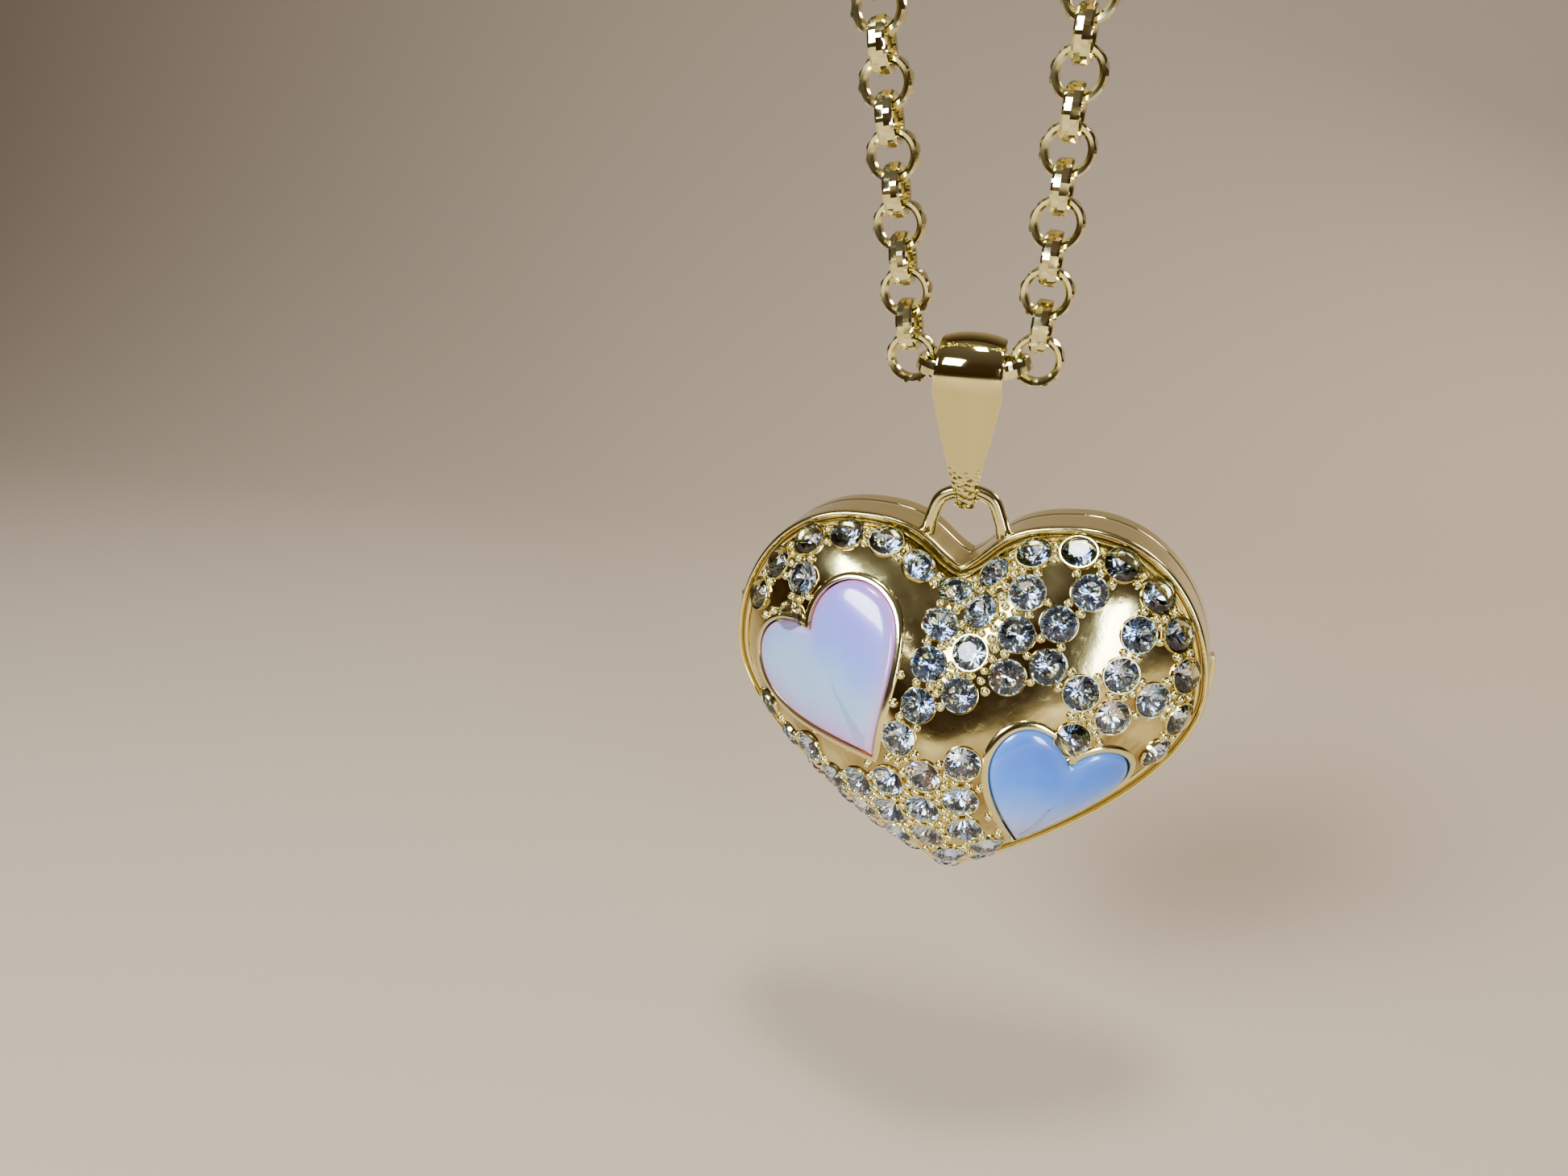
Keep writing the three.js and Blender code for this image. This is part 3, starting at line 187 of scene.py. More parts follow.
class Effects:
    """The shader effects that several finishes share, each a node group built once."""

    _made: dict[str, bpy.types.NodeTree] = {}

    @classmethod
    def _start(cls, name: str, inputs: Sequence[tuple], outputs: Sequence[tuple]) -> tuple:
        """Begins a node group.

        Args:
            name: the group's name.
            inputs: name, socket kind and default of each input.
            outputs: name and socket kind of each output.

        Returns:
            The group, its wiring, its input node and its output node.
        """
        tree = bpy.data.node_groups.new(name, "ShaderNodeTree")
        for title, kind, default in inputs:
            socket = tree.interface.new_socket(title, in_out="INPUT", socket_type="NodeSocket" + kind)
            if default is not None:
                socket.default_value = default
        for title, kind in outputs:
            tree.interface.new_socket(title, in_out="OUTPUT", socket_type="NodeSocket" + kind)
        wiring = Wiring(tree)
        cls._made[name] = tree
        return tree, wiring, wiring.add("NodeGroupInput"), wiring.add("NodeGroupOutput")

    @classmethod
    def handling(cls) -> bpy.types.NodeTree:
        """Fine scratches and finger haze of a polished skin.

        Returns:
            A group with Roughness and Height outputs.
        """
        if "handling" in cls._made:
            return cls._made["handling"]
        tree, w, given, out = cls._start(
            "handling",
            [("Base", "Float", 0.12), ("Haze", "Float", 0.08), ("Scratches", "Float", 0.3), ("Grain", "Float", 0.0)],
            [("Roughness", "Float"), ("Height", "Float")],
        )
        place = w.add("TexCoord").outputs["Object"]
        haze = w.add("TexNoise", {"Vector": place, "Scale": 420.0, "Detail": 3.0}).outputs["Fac"]
        soft = w.math("MULTIPLY", w.math("SUBTRACT", haze, 0.5), given.outputs["Haze"])
        lines = []
        for turn, scale in ((0.5, 900.0), (1.9, 1300.0)):
            bent = w.add("Mapping", {"Vector": place, "Rotation": (turn, turn * 0.7, turn), "Scale": (1.0, 0.04, 1.0)})
            noise = w.add("TexNoise", {"Vector": bent.outputs[0], "Scale": scale, "Detail": 2.0})
            lines.append(w.add("MapRange", {0: noise.outputs["Fac"], 1: 0.62, 2: 0.72}).outputs[0])
        scratch = w.math("MULTIPLY", w.math("MAXIMUM", *lines), given.outputs["Scratches"])
        total = w.math("ADD", w.math("ADD", given.outputs["Base"], soft), w.math("MULTIPLY", scratch, 0.12))
        rough = w.add("Clamp", {0: total, 1: 0.02, 2: 0.9}).outputs[0]
        grain = w.add("TexNoise", {"Vector": place, "Scale": 2600.0, "Detail": 4.0}).outputs["Fac"]
        coarse = w.math("MULTIPLY", grain, given.outputs["Grain"])
        height = w.math("SUBTRACT", w.math("ADD", coarse, w.math("MULTIPLY", haze, 0.25)), scratch)
        tree.links.new(rough, out.inputs["Roughness"])
        tree.links.new(height, out.inputs["Height"])
        return tree

    @classmethod
    def painted_shade_and_highlight(cls) -> bpy.types.NodeTree:
        """Painted shade in concave hollows and a painted highlight along sharp edges, both read from pointiness.

        Returns:
            A group with Hollow and Edge outputs, from 0 to 1.
        """
        if "painted_shade_and_highlight" in cls._made:
            return cls._made["painted_shade_and_highlight"]
        tree, w, given, out = cls._start(
            "painted_shade_and_highlight",
            [("Depth", "Float", 1.0), ("Break", "Float", 0.3)],
            [("Painted Shade", "Float"), ("Painted Highlight", "Float")],
        )
        bent = w.add("NewGeometry").outputs["Pointiness"]
        place = w.add("TexCoord").outputs["Object"]
        patchy = w.add("TexNoise", {"Vector": place, "Scale": 900.0, "Detail": 3.0}).outputs["Fac"]
        shift = w.math("MULTIPLY", w.math("SUBTRACT", patchy, 0.5), w.math("MULTIPLY", given.outputs["Break"], 0.1))
        level = w.math("ADD", bent, shift)
        # painted shade: the mask rises where the surface curves inwards
        hollow = w.add("MapRange", {0: level, 1: 0.5, 2: 0.42}).outputs[0]
        # painted highlight: the mask rises along sharp outward edges
        edge = w.add("MapRange", {0: level, 1: 0.52, 2: 0.6}).outputs[0]
        tree.links.new(w.math("MULTIPLY", hollow, given.outputs["Depth"]), out.inputs["Painted Shade"])
        tree.links.new(edge, out.inputs["Painted Highlight"])
        return tree

    @classmethod
    def drift(cls) -> bpy.types.NodeTree:
        """Slow folded bands, as the growth layers of shell show.

        Returns:
            A group with Bands and Cloud outputs, from 0 to 1.
        """
        if "drift" in cls._made:
            return cls._made["drift"]
        tree, w, given, out = cls._start(
            "drift",
            [("Size", "Float", 300.0), ("Fold", "Float", 4.0)],
            [("Bands", "Float"), ("Cloud", "Float")],
        )
        place = w.add("TexCoord").outputs["Object"]
        cloud = w.add("TexNoise", {"Vector": place, "Scale": given.outputs["Size"], "Detail": 4.0}).outputs["Fac"]
        bands = w.add("TexWave", {
            "Vector": place, "Scale": w.math("MULTIPLY", given.outputs["Size"], 0.5),
            "Distortion": given.outputs["Fold"], "Detail": 3.0, "Detail Scale": 1.2,
        })
        tree.links.new(bands.outputs["Fac"], out.inputs["Bands"])
        tree.links.new(cloud, out.inputs["Cloud"])
        return tree


# ------------------------------------------------------------------------------ finishes
class Finish:
    """A finish that makes its material once."""

    _made: dict[str, bpy.types.Material] = {}
    name: str

    def material(self) -> bpy.types.Material:
        """Returns the finish's material, made on first use."""
        if self.name not in Finish._made:
            made = bpy.data.materials.new(self.name)
            made.use_nodes = True
            wiring = Wiring(made.node_tree)
            self.wire(wiring, made.node_tree.nodes["Principled BSDF"])
            Finish._made[self.name] = made
        return Finish._made[self.name]

    def wire(self, w: Wiring, shader: bpy.types.Node) -> None:
        """Sets and feeds the shader's sockets."""
        raise NotImplementedError


@dataclass(frozen=True)
class Metal(Finish):
    """A polished or cast metal skin, with painted shade in its hollows and a painted highlight on its sharp edges."""

    name: str
    color: Color
    # painted shade colour for the hollows, then painted highlight colour for sharp edges
    shade: Color
    highlight_color: Color
    roughness: float = 0.1
    haze: float = 0.08
    scratches: float = 0.3
    grain: float = 0.0
    relief: float = 0.004
    # strength of the painted shade in the hollows
    hollow: float = 0.8

    def wire(self, w: Wiring, shader: bpy.types.Node) -> None:
        """Feeds colour with painted shade in the crevices and a painted highlight on the edges, and roughness and bump
        from handling.
        """
        marks = w.group(Effects.painted_shade_and_highlight(), Depth=self.hollow)
        # painted highlight on sharp edges, then painted shade in the hollows
        edge_highlit = w.mix(marks.outputs["Painted Highlight"], self.color, self.highlight_color)
        tone = w.mix(marks.outputs["Painted Shade"], edge_highlit, self.shade)
        wear = w.group(
            Effects.handling(), Base=self.roughness, Haze=self.haze, Scratches=self.scratches, Grain=self.grain,
        )
        bump = w.add("Bump", {"Height": wear.outputs["Height"], "Distance": self.relief * MM})
        w.tree.links.new(tone, shader.inputs["Base Color"])
        w.tree.links.new(wear.outputs["Roughness"], shader.inputs["Roughness"])
        w.tree.links.new(bump.outputs[0], shader.inputs["Normal"])
        shader.inputs["Metallic"].default_value = 1.0


@dataclass(frozen=True)
class BladeMetal(Metal):
    """Plating that is mirror-smooth on the blade and left as cast towards its tip and borders."""

    cast_grain: float = 3.0
    cast_from: float = 2.6
    cast_full: float = 1.2

    def wire(self, w: Wiring, shader: bpy.types.Node) -> None:
        """Adds the cast skin, by height and by the mesh's own border mask."""
        super().wire(w, shader)
        height = w.add("SeparateXYZ", {0: w.add("TexCoord").outputs["Object"]}).outputs["Z"]
        low = w.add("MapRange", {0: height, 1: self.cast_from * MM, 2: self.cast_full * MM}).outputs[0]
        border = w.add("Attribute", attribute_name="border").outputs["Fac"]
        mask = w.math("MAXIMUM", low, border)
        place = w.add("TexCoord").outputs["Object"]
        nuggets = w.add("TexVoronoi", {"Vector": place, "Scale": 2600.0}).outputs["Distance"]
        cast = w.math("MULTIPLY", w.math("MULTIPLY", nuggets, mask), self.cast_grain)
        old = shader.inputs["Normal"].links[0].from_node
        bump = w.add("Bump", {
            "Height": cast, "Distance": 0.06 * MM, "Strength": 0.8, "Normal": old.outputs[0],
        })
        w.tree.links.new(bump.outputs[0], shader.inputs["Normal"])


@dataclass(frozen=True)
class CutGlass(Finish):
    """The clear crown of a crystal."""

    name: str
    tint: Color
    index: float = 1.56

    def wire(self, w: Wiring, shader: bpy.types.Node) -> None:
        """Clear glass with the least trace of handling."""
        wear = w.group(Effects.handling(), Base=0.02, Haze=0.03, Scratches=0.1)
        w.tree.links.new(wear.outputs["Roughness"], shader.inputs["Roughness"])
        shader.inputs["Base Color"].default_value = (*self.tint, 1.0)
        shader.inputs["Transmission Weight"].default_value = 1.0
        shader.inputs["IOR"].default_value = self.index


@dataclass(frozen=True)
class Foil(Finish):
    """The mirror behind a crystal, each facet painted with its own glint: a painted reflection, dark, blue-white or a
    coloured fleck of painted fire.
    """

    name: str
    glint_tones: tuple

    def wire(self, w: Wiring, shader: bpy.types.Node) -> None:
        """Reads each facet's painted glint value from the mesh."""
        # the tone attribute is a painted reflection for each facet, mapped to dark, blue-white or fire colours
        tone = w.add("Attribute", attribute_name="tone").outputs["Fac"]
        w.tree.links.new(w.ramp(tone, self.glint_tones), shader.inputs["Base Color"])
        wear = w.group(Effects.handling(), Base=0.08, Haze=0.08, Scratches=0.1)
        w.tree.links.new(wear.outputs["Roughness"], shader.inputs["Roughness"])
        shader.inputs["Metallic"].default_value = 1.0


@dataclass(frozen=True)
class Nacre(Finish):
    """Polished mother-of-pearl whose colour drifts across the piece."""

    name: str
    stops: tuple
    rim: Color
    way: tuple[float, float]
    span: float
    rim_share: float

    def wire(self, w: Wiring, shader: bpy.types.Node) -> None:
        """Builds the drift of colour along one way, with bands and a tinted border."""
        across = w.add("Attribute", attribute_name="across").outputs["Fac"]
        along = w.add("Attribute", attribute_name="along").outputs["Fac"]
        bands = w.group(Effects.drift(), Size=170.0, Fold=5.0)
        reach = w.math("ADD", w.math("MULTIPLY", across, self.way[0]), w.math("MULTIPLY", along, self.way[1]))
        place = w.add("MapRange", {0: reach, 1: -self.span, 2: self.span}).outputs[0]
        wander = w.math("MULTIPLY", w.math("SUBTRACT", bands.outputs["Cloud"], 0.5), 0.5)
        ripple = w.math("MULTIPLY", w.math("SUBTRACT", bands.outputs["Bands"], 0.5), 0.05)
        drift = w.math("ADD", w.math("ADD", place, wander), ripple)
        body = w.ramp(drift, self.stops)
        border = w.add("Attribute", attribute_name="border").outputs["Fac"]
        tinted = w.mix(w.math("MULTIPLY", border, self.rim_share), body, self.rim)
        fine = w.add("TexNoise", {"Scale": 900.0, "Vector": w.add("TexCoord").outputs["Object"]}).outputs["Fac"]
        w.tree.links.new(tinted, shader.inputs["Base Color"])
        rough = w.add("MapRange", {0: fine, 3: 0.16, 4: 0.24}).outputs[0]
        w.tree.links.new(rough, shader.inputs["Roughness"])
        bump = w.add("Bump", {"Height": bands.outputs["Bands"], "Distance": 0.004 * MM, "Strength": 0.4})
        w.tree.links.new(bump.outputs[0], shader.inputs["Normal"])
        shader.inputs["Subsurface Weight"].default_value = 0.25
        shader.inputs["Subsurface Radius"].default_value = (0.8, 0.8, 1.0)
        shader.inputs["Subsurface Scale"].default_value = 0.6 * MM
        shader.inputs["Coat Weight"].default_value = 0.8
        shader.inputs["Coat Roughness"].default_value = 0.05
        shader.inputs["IOR"].default_value = 1.55


@dataclass(frozen=True)
class Card(Finish):
    """A plain card with a fine paper tooth."""

    name: str
    color: Color
    fibre: Color

    def wire(self, w: Wiring, shader: bpy.types.Node) -> None:
        """Mixes fibres into the card and gives it a tooth."""
        bands = w.group(Effects.drift(), Size=1800.0, Fold=8.0)
        share = w.math("MULTIPLY", bands.outputs["Cloud"], 0.6)
        w.tree.links.new(w.mix(share, self.color, self.fibre), shader.inputs["Base Color"])
        bump = w.add("Bump", {"Height": bands.outputs["Cloud"], "Distance": 0.02 * MM})
        w.tree.links.new(bump.outputs[0], shader.inputs["Normal"])
        shader.inputs["Roughness"].default_value = 0.8


@dataclass(frozen=True)
class ClearSheet(Finish):
    """The thin window over a card."""

    name: str
    tint: Color

    def wire(self, w: Wiring, shader: bpy.types.Node) -> None:
        """Clear sheet with handling marks."""
        wear = w.group(Effects.handling(), Base=0.04, Haze=0.06, Scratches=0.4)
        w.tree.links.new(wear.outputs["Roughness"], shader.inputs["Roughness"])
        shader.inputs["Base Color"].default_value = (*self.tint, 1.0)
        shader.inputs["Transmission Weight"].default_value = 1.0
        shader.inputs["IOR"].default_value = 1.45


@dataclass(frozen=True)
class Backdrop(Finish):
    """The studio's plain pale paper."""

    name: str
    color: Color

    def wire(self, w: Wiring, shader: bpy.types.Node) -> None:
        """A plain matt colour."""
        shader.inputs["Base Color"].default_value = (*self.color, 1.0)
        shader.inputs["Roughness"].default_value = 0.9


# each metal's shade and edge colours are painted shade in hollows and a painted highlight on sharp edges
GOLD_TONES = {"color": (0.80, 0.70, 0.30), "shade": (0.22, 0.11, 0.02), "highlight_color": (0.94, 0.90, 0.50)}
MIRROR_GOLD = Metal("mirror_gold", **GOLD_TONES, roughness=0.06, haze=0.05, scratches=0.25, hollow=0.5)
CAST_GOLD = Metal("cast_gold", **GOLD_TONES, roughness=0.12, haze=0.1, grain=0.5, relief=0.008)
BEAD_GOLD = Metal("bead_gold", **GOLD_TONES, roughness=0.1, haze=0.08, hollow=0.3)
CHAIN_GOLD = Metal("chain_gold", **GOLD_TONES, roughness=0.1, haze=0.08, scratches=0.5, hollow=0.5)
BLADE_GOLD = BladeMetal("blade_gold", **GOLD_TONES, roughness=0.05, haze=0.04, scratches=0.2)
# this metal's shade and edge colours are painted shade and painted highlight too
INNER_GOLD = Metal(
    "inner_gold", color=(0.72, 0.5, 0.24), shade=(0.25, 0.14, 0.05), highlight_color=(0.85, 0.66, 0.36), roughness=0.22,
)
STEEL = Metal("spring_steel", color=(0.62, 0.6, 0.57), shade=(0.2, 0.19, 0.18), highlight_color=(0.8, 0.8, 0.78), roughness=0.2)
CRYSTAL = CutGlass("crystal_glass", tint=(0.93, 0.97, 1.0))
# painted reflections: dark, pale blue and white facet glints, with blue and orange flecks of painted fire
FOIL = Foil("crystal_foil", glint_tones=(
    (0.0, (0.05, 0.08, 0.14)), (0.15, (0.30, 0.42, 0.60)), (0.35, (0.62, 0.78, 0.96)),
    (0.55, (0.88, 0.95, 1.0)), (0.88, (0.96, 0.98, 1.0)), (0.93, (0.25, 0.5, 1.0)), (0.97, (1.0, 0.72, 0.5)),
))
PINK_NACRE = Nacre(
    "pink_nacre",
    stops=(
        (0.0, (0.52, 0.28, 0.52)), (0.22, (0.46, 0.36, 0.66)), (0.45, (0.30, 0.48, 0.66)),
        (0.7, (0.22, 0.30, 0.80)), (1.0, (0.24, 0.20, 0.80)),
    ),
    rim=(0.80, 0.26, 0.38), way=(0.8, 0.6), span=5.5, rim_share=0.55,
)
BLUE_NACRE = Nacre(
    "blue_nacre",
    stops=(
        (0.0, (0.005, 0.10, 0.50)), (0.3, (0.02, 0.20, 0.80)), (0.52, (0.14, 0.34, 0.84)),
        (0.75, (0.34, 0.42, 0.80)), (1.0, (0.46, 0.46, 0.74)),
    ),
    rim=(0.30, 0.52, 0.92), way=(0.25, -1.0), span=5.0, rim_share=0.3,
)
PHOTO_CARD = Card("photo_card", color=(0.88, 0.85, 0.78), fibre=(0.74, 0.70, 0.62))
WINDOW = ClearSheet("clear_window", tint=(0.95, 0.97, 0.98))
PAPER = Backdrop("studio_paper", color=(0.52, 0.40, 0.28))


# ------------------------------------------------------------------------------ mesh drafting
class Draft:
    """A mesh under construction, in millimetres of its own frame."""

    def __init__(self) -> None:
        """Starts with nothing in it."""
        self.points: list[Array] = []
        self.faces: list[tuple[int, ...]] = []
        self.kinds: list[int] = []
        self.count = 0

    def add(self, points: Array) -> list[int]:
        """Adds points and returns their numbers."""
        rows = np.asarray(points, float).reshape(-1, 3)
        start = self.count
        self.points.append(rows)
        self.count += len(rows)
        return list(range(start, self.count))

    def face(self, corners: Sequence[int], kind: int = 0) -> None:
        """Adds one face by the numbers of its points."""
        self.faces.append(tuple(int(k) for k in corners))
        self.kinds.append(kind)

    def bridge(self, first: Sequence[int], second: Sequence[int]) -> None:
        """Joins two closed rings of equally many points."""
        count = len(first)
        for k in range(count):
            n = (k + 1) % count
            self.face((first[k], first[n], second[n], second[k]))

    def grow(self, ring: Sequence[int], rows: Iterable[Array]) -> list[int]:
        """Carries a ring on through more rings.

        Args:
            ring: the numbers of the points that it starts from.
            rows: the points of each next ring.

        Returns:
            The numbers of the last ring's points.
        """
        last = list(ring)
        for row in rows:
            following = self.add(row)
            self.bridge(last, following)
            last = following
        return last

    def hoop(self, rings: Sequence[Array]) -> None:
        """Adds a body through rings that comes back to the first of them."""
        first = self.add(rings[0])
        self.bridge(self.grow(first, rings[1:]), first)

    def loft(self, rings: Sequence[Array]) -> None:
        """Adds a closed body through rings, with a flat end at each."""
        first = self.add(rings[0])
        last = self.grow(first, rings[1:])
        self.face(first)
        self.face(last)

    def wheel(self, profile: Sequence[tuple[float, float]], turn: Matrix, sides: int) -> None:
        """Adds a body turned about its own Z, closed on itself as a ring.

        Args:
            profile: closed line of radius and height.
            turn: where the body stands.
            sides: steps round it.
        """
        turns = [TAU * k / sides for k in range(sides)]
        self.hoop([
            np.array([tuple(turn @ Vector((r * math.cos(a), r * math.sin(a), h))) for r, h in profile])
            for a in turns
        ])

    def turned(self, profile: Sequence[tuple[float, float]], turn: Matrix, sides: int) -> None:
        """Adds a body turned about its own Z from end to end, closed by a flat at both ends."""
        turns = [TAU * k / sides for k in range(sides)]
        self.loft([
            np.array([tuple(turn @ Vector((r * math.cos(a), r * math.sin(a), h))) for a in turns])
            for r, h in profile
        ])

    def ball(self, centre: Array, axis: Array, radius: float, flat: float = 1.0) -> None:
        """Adds a small bead.

        Args:
            centre: its middle.
            axis: its upward way.
            radius: its radius across.
            flat: its height as a share of its width.
        """
        turn = Matrix.Translation(Vector(centre)) @ facing(axis)
        profile = [
            (radius * math.cos(a), radius * flat * math.sin(a))
            for a in np.radians((-84, -60, -30, 0, 28, 52, 70, 84))
        ]
        self.turned(profile, turn, 14)

    def build(
        self,
        name: str,
        finishes: Finish | Sequence[Finish],
        body: Body,
        slot: Slot | None = None,
        replaces: Sequence[str] = (),
        place: Matrix | None = None,
        crease: float = 32,
        marks: dict[str, tuple[str, Array]] | None = None,
    ) -> bpy.types.Object:
        """Makes the piece and fastens it to its body.

        Args:
            name: the piece's name.
            finishes: its finish, or one for each kind of face.
            body: the body that it rides on.
            slot: not used.
            replaces: the CAD nodes that it stands for.
            place: its frame in the row frame, in metres.
            crease: edges sharper than this many degrees stay sharp.
            marks: named values, each with its domain, POINT or FACE.

        Returns:
            The new object.
        """
        mesh = bpy.data.meshes.new(name)
        mesh.from_pydata((np.concatenate(self.points) * MM).tolist(), [], self.faces)
        for one in [finishes] if isinstance(finishes, Finish) else finishes:
            mesh.materials.append(one.material())
        mesh.polygons.foreach_set("material_index", self.kinds)
        for title, (domain, values) in (marks or {}).items():
            layer = mesh.attributes.new(title, "FLOAT", domain)
            layer.data.foreach_set("value", np.asarray(values, np.float32))
        work = bmesh.new()
        work.from_mesh(mesh)
        bmesh.ops.recalc_face_normals(work, faces=work.faces)
        work.to_mesh(mesh)
        work.free()
        mesh.polygons.foreach_set("use_smooth", [True] * len(mesh.polygons))
        mesh.set_sharp_from_angle(angle=math.radians(crease))
        piece = bpy.data.objects.new(name, mesh)
        bpy.context.scene.collection.objects.link(piece)
        piece.matrix_world = LOCKET_FRAME if place is None else place
        return fasten(piece, body, replaces)


def fasten(
    piece: bpy.types.Object, body: Body, replaces: Sequence[str] = ()
) -> bpy.types.Object:
    """Ties a piece to the frame.

    Args:
        piece: the object, already in place.
        body: the body that it rides on.
        replaces: the CAD nodes that it stands for.

    Returns:
        The same object.
    """
    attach(piece, body.value)
    if replaces:
        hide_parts(*replaces)
    LOG.info("%s on %s, %d faces", piece.name, body.value, len(piece.data.polygons))
    return piece


def facing(way: Array) -> Matrix:
    """A turn that carries Z to the given way."""
    return Vector(way).to_track_quat("Z", "Y").to_matrix().to_4x4()


def unit(rows: Array) -> Array:
    """Each row at length one."""
    return rows / np.linalg.norm(rows, axis=-1, keepdims=True)


def smooth_path(points: Sequence[Sequence[float]], steps: int) -> Array:
    """A smooth line through points of any number of columns.

    Args:
        points: the points that it passes through.
        steps: how many pieces each span is cut into.

    Returns:
        The line's points.
    """
    p = np.asarray(points, float)
    p = np.vstack([2 * p[0] - p[1], p, 2 * p[-1] - p[-2]])
    rows = []
    for k in range(1, len(p) - 2):
        a, b, c, d = p[k - 1 : k + 3]
        for t in np.arange(steps) / steps:
            bend = (2 * a - 5 * b + 4 * c - d) * t**2
            twist = (3 * b - a - 3 * c + d) * t**3
            rows.append(0.5 * (2 * b + (c - a) * t + bend + twist))
    rows.append(p[-2])
    return np.array(rows)


def bezier(points: Sequence[tuple[float, float]], steps: int) -> Array:
    """The points of a cubic arc, both ends among them."""
    t = np.linspace(0, 1, steps + 1)[:, None]
    a, b, c, d = (np.asarray(p, float) for p in points)
    return (1 - t) ** 3 * a + 3 * (1 - t) ** 2 * t * b + 3 * (1 - t) * t**2 * c + t**3 * d


def mirrored(half: Array) -> Array:
    """A right half and its left half as one closed ring."""
    return np.vstack([half, half[-2:0:-1] * (-1, 1)])


def inside_ring(points: Array, ring: Array) -> Array:
    """Which plane points lie inside a closed ring."""
    x, y = points[:, 0], points[:, 1]
    inside = np.zeros(len(points), bool)
    for a, b in zip(ring, np.roll(ring, -1, axis=0)):
        if a[1] != b[1]:
            spans = (a[1] > y) != (b[1] > y)
            inside ^= spans & (x < a[0] + (b[0] - a[0]) * (y - a[1]) / (b[1] - a[1]))
    return inside


# ------------------------------------------------------------------------------ the heart's form
@dataclass(frozen=True)
class HeartOutline:
    """The heart seen from the front, as x and z."""

    half_width: float = 15.8
    height: float = 25.3
    cleft_depth: float = 3.1
    lobe_top_x: float = 7.3
    widest_drop: float = 10.0
    cleft_angle: float = math.radians(64)
    tip_angle: float = math.radians(70)

    def line(self) -> Array:
        """The right half as three cubic arcs, from cleft to tip."""
        shoulder = self.half_width - self.lobe_top_x
        flank = self.height - self.widest_drop
        leave = 0.31 * self.lobe_top_x
        arrive = 0.34 * self.half_width
        cleft = (0, -self.cleft_depth)
        top = (self.lobe_top_x, 0)
        side = (self.half_width, -self.widest_drop)
        tip = (0, -self.height)
        arcs = [
            bezier([
                cleft,
                (leave * math.sin(self.cleft_angle), leave * math.cos(self.cleft_angle) - self.cleft_depth),
                (0.28 * self.lobe_top_x, 0),
                top,
            ], 40),
            bezier([
                top, (self.lobe_top_x + 0.6 * shoulder, 0), (self.half_width, -0.47 * self.widest_drop), side,
            ], 40),
            bezier([
                side,
                (self.half_width, -self.widest_drop - 0.42 * flank),
                (arrive * math.sin(self.tip_angle), arrive * math.cos(self.tip_angle) - self.height),
                tip,
            ], 40),
        ]
        return np.vstack([arcs[0], arcs[1][1:], arcs[2][1:]])

    def half(self, inset: float, count: int) -> Array:
        """The right half moved inwards.

        Args:
            inset: how far, outwards if negative.
            count: how many evenly spaced points.

        Returns:
            The points from the cleft's middle line to the tip's.
        """
        line = self.line()
        way = unit(np.vstack([line[1:], line[-1:]]) - np.vstack([line[:1], line[:-1]]))
        moved = line + inset * np.column_stack([way[:, 1], -way[:, 0]])
        right = np.flatnonzero(moved[:, 0] > 1e-6)
        first, last = right[0], right[-1]
        if first == 0 or inset > 0:
            start = (0.0, -self.cleft_depth - max(inset, 0))
        else:
            start = self._crossing(moved[first], moved[first - 1])
        if last == len(moved) - 1:
            end = (0.0, -self.height + min(inset, 0))
        else:
            end = self._crossing(moved[last], moved[last + 1])
        path = np.vstack([start, moved[first : last + 1], end])
        along = np.concatenate([[0], np.cumsum(np.linalg.norm(np.diff(path, axis=0), axis=1))])
        want = np.linspace(0, along[-1], count)
        return np.column_stack([np.interp(want, along, path[:, 0]), np.interp(want, along, path[:, 1])])

    @staticmethod
    def _crossing(inner: Array, outer: Array) -> tuple[float, float]:
        """Where the line between two points crosses the middle line."""
        share = inner[0] / (inner[0] - outer[0])
        return 0.0, inner[1] + (outer[1] - inner[1]) * share

    def ring(self, inset: float, y: float, count: int = 110) -> Array:
        """The whole outline at an inset and a depth, as x, y and z."""
        flat = mirrored(self.half(inset, count))
        return np.column_stack([flat[:, 0], np.full(len(flat), y), flat[:, 1]])


HEART = HeartOutline()


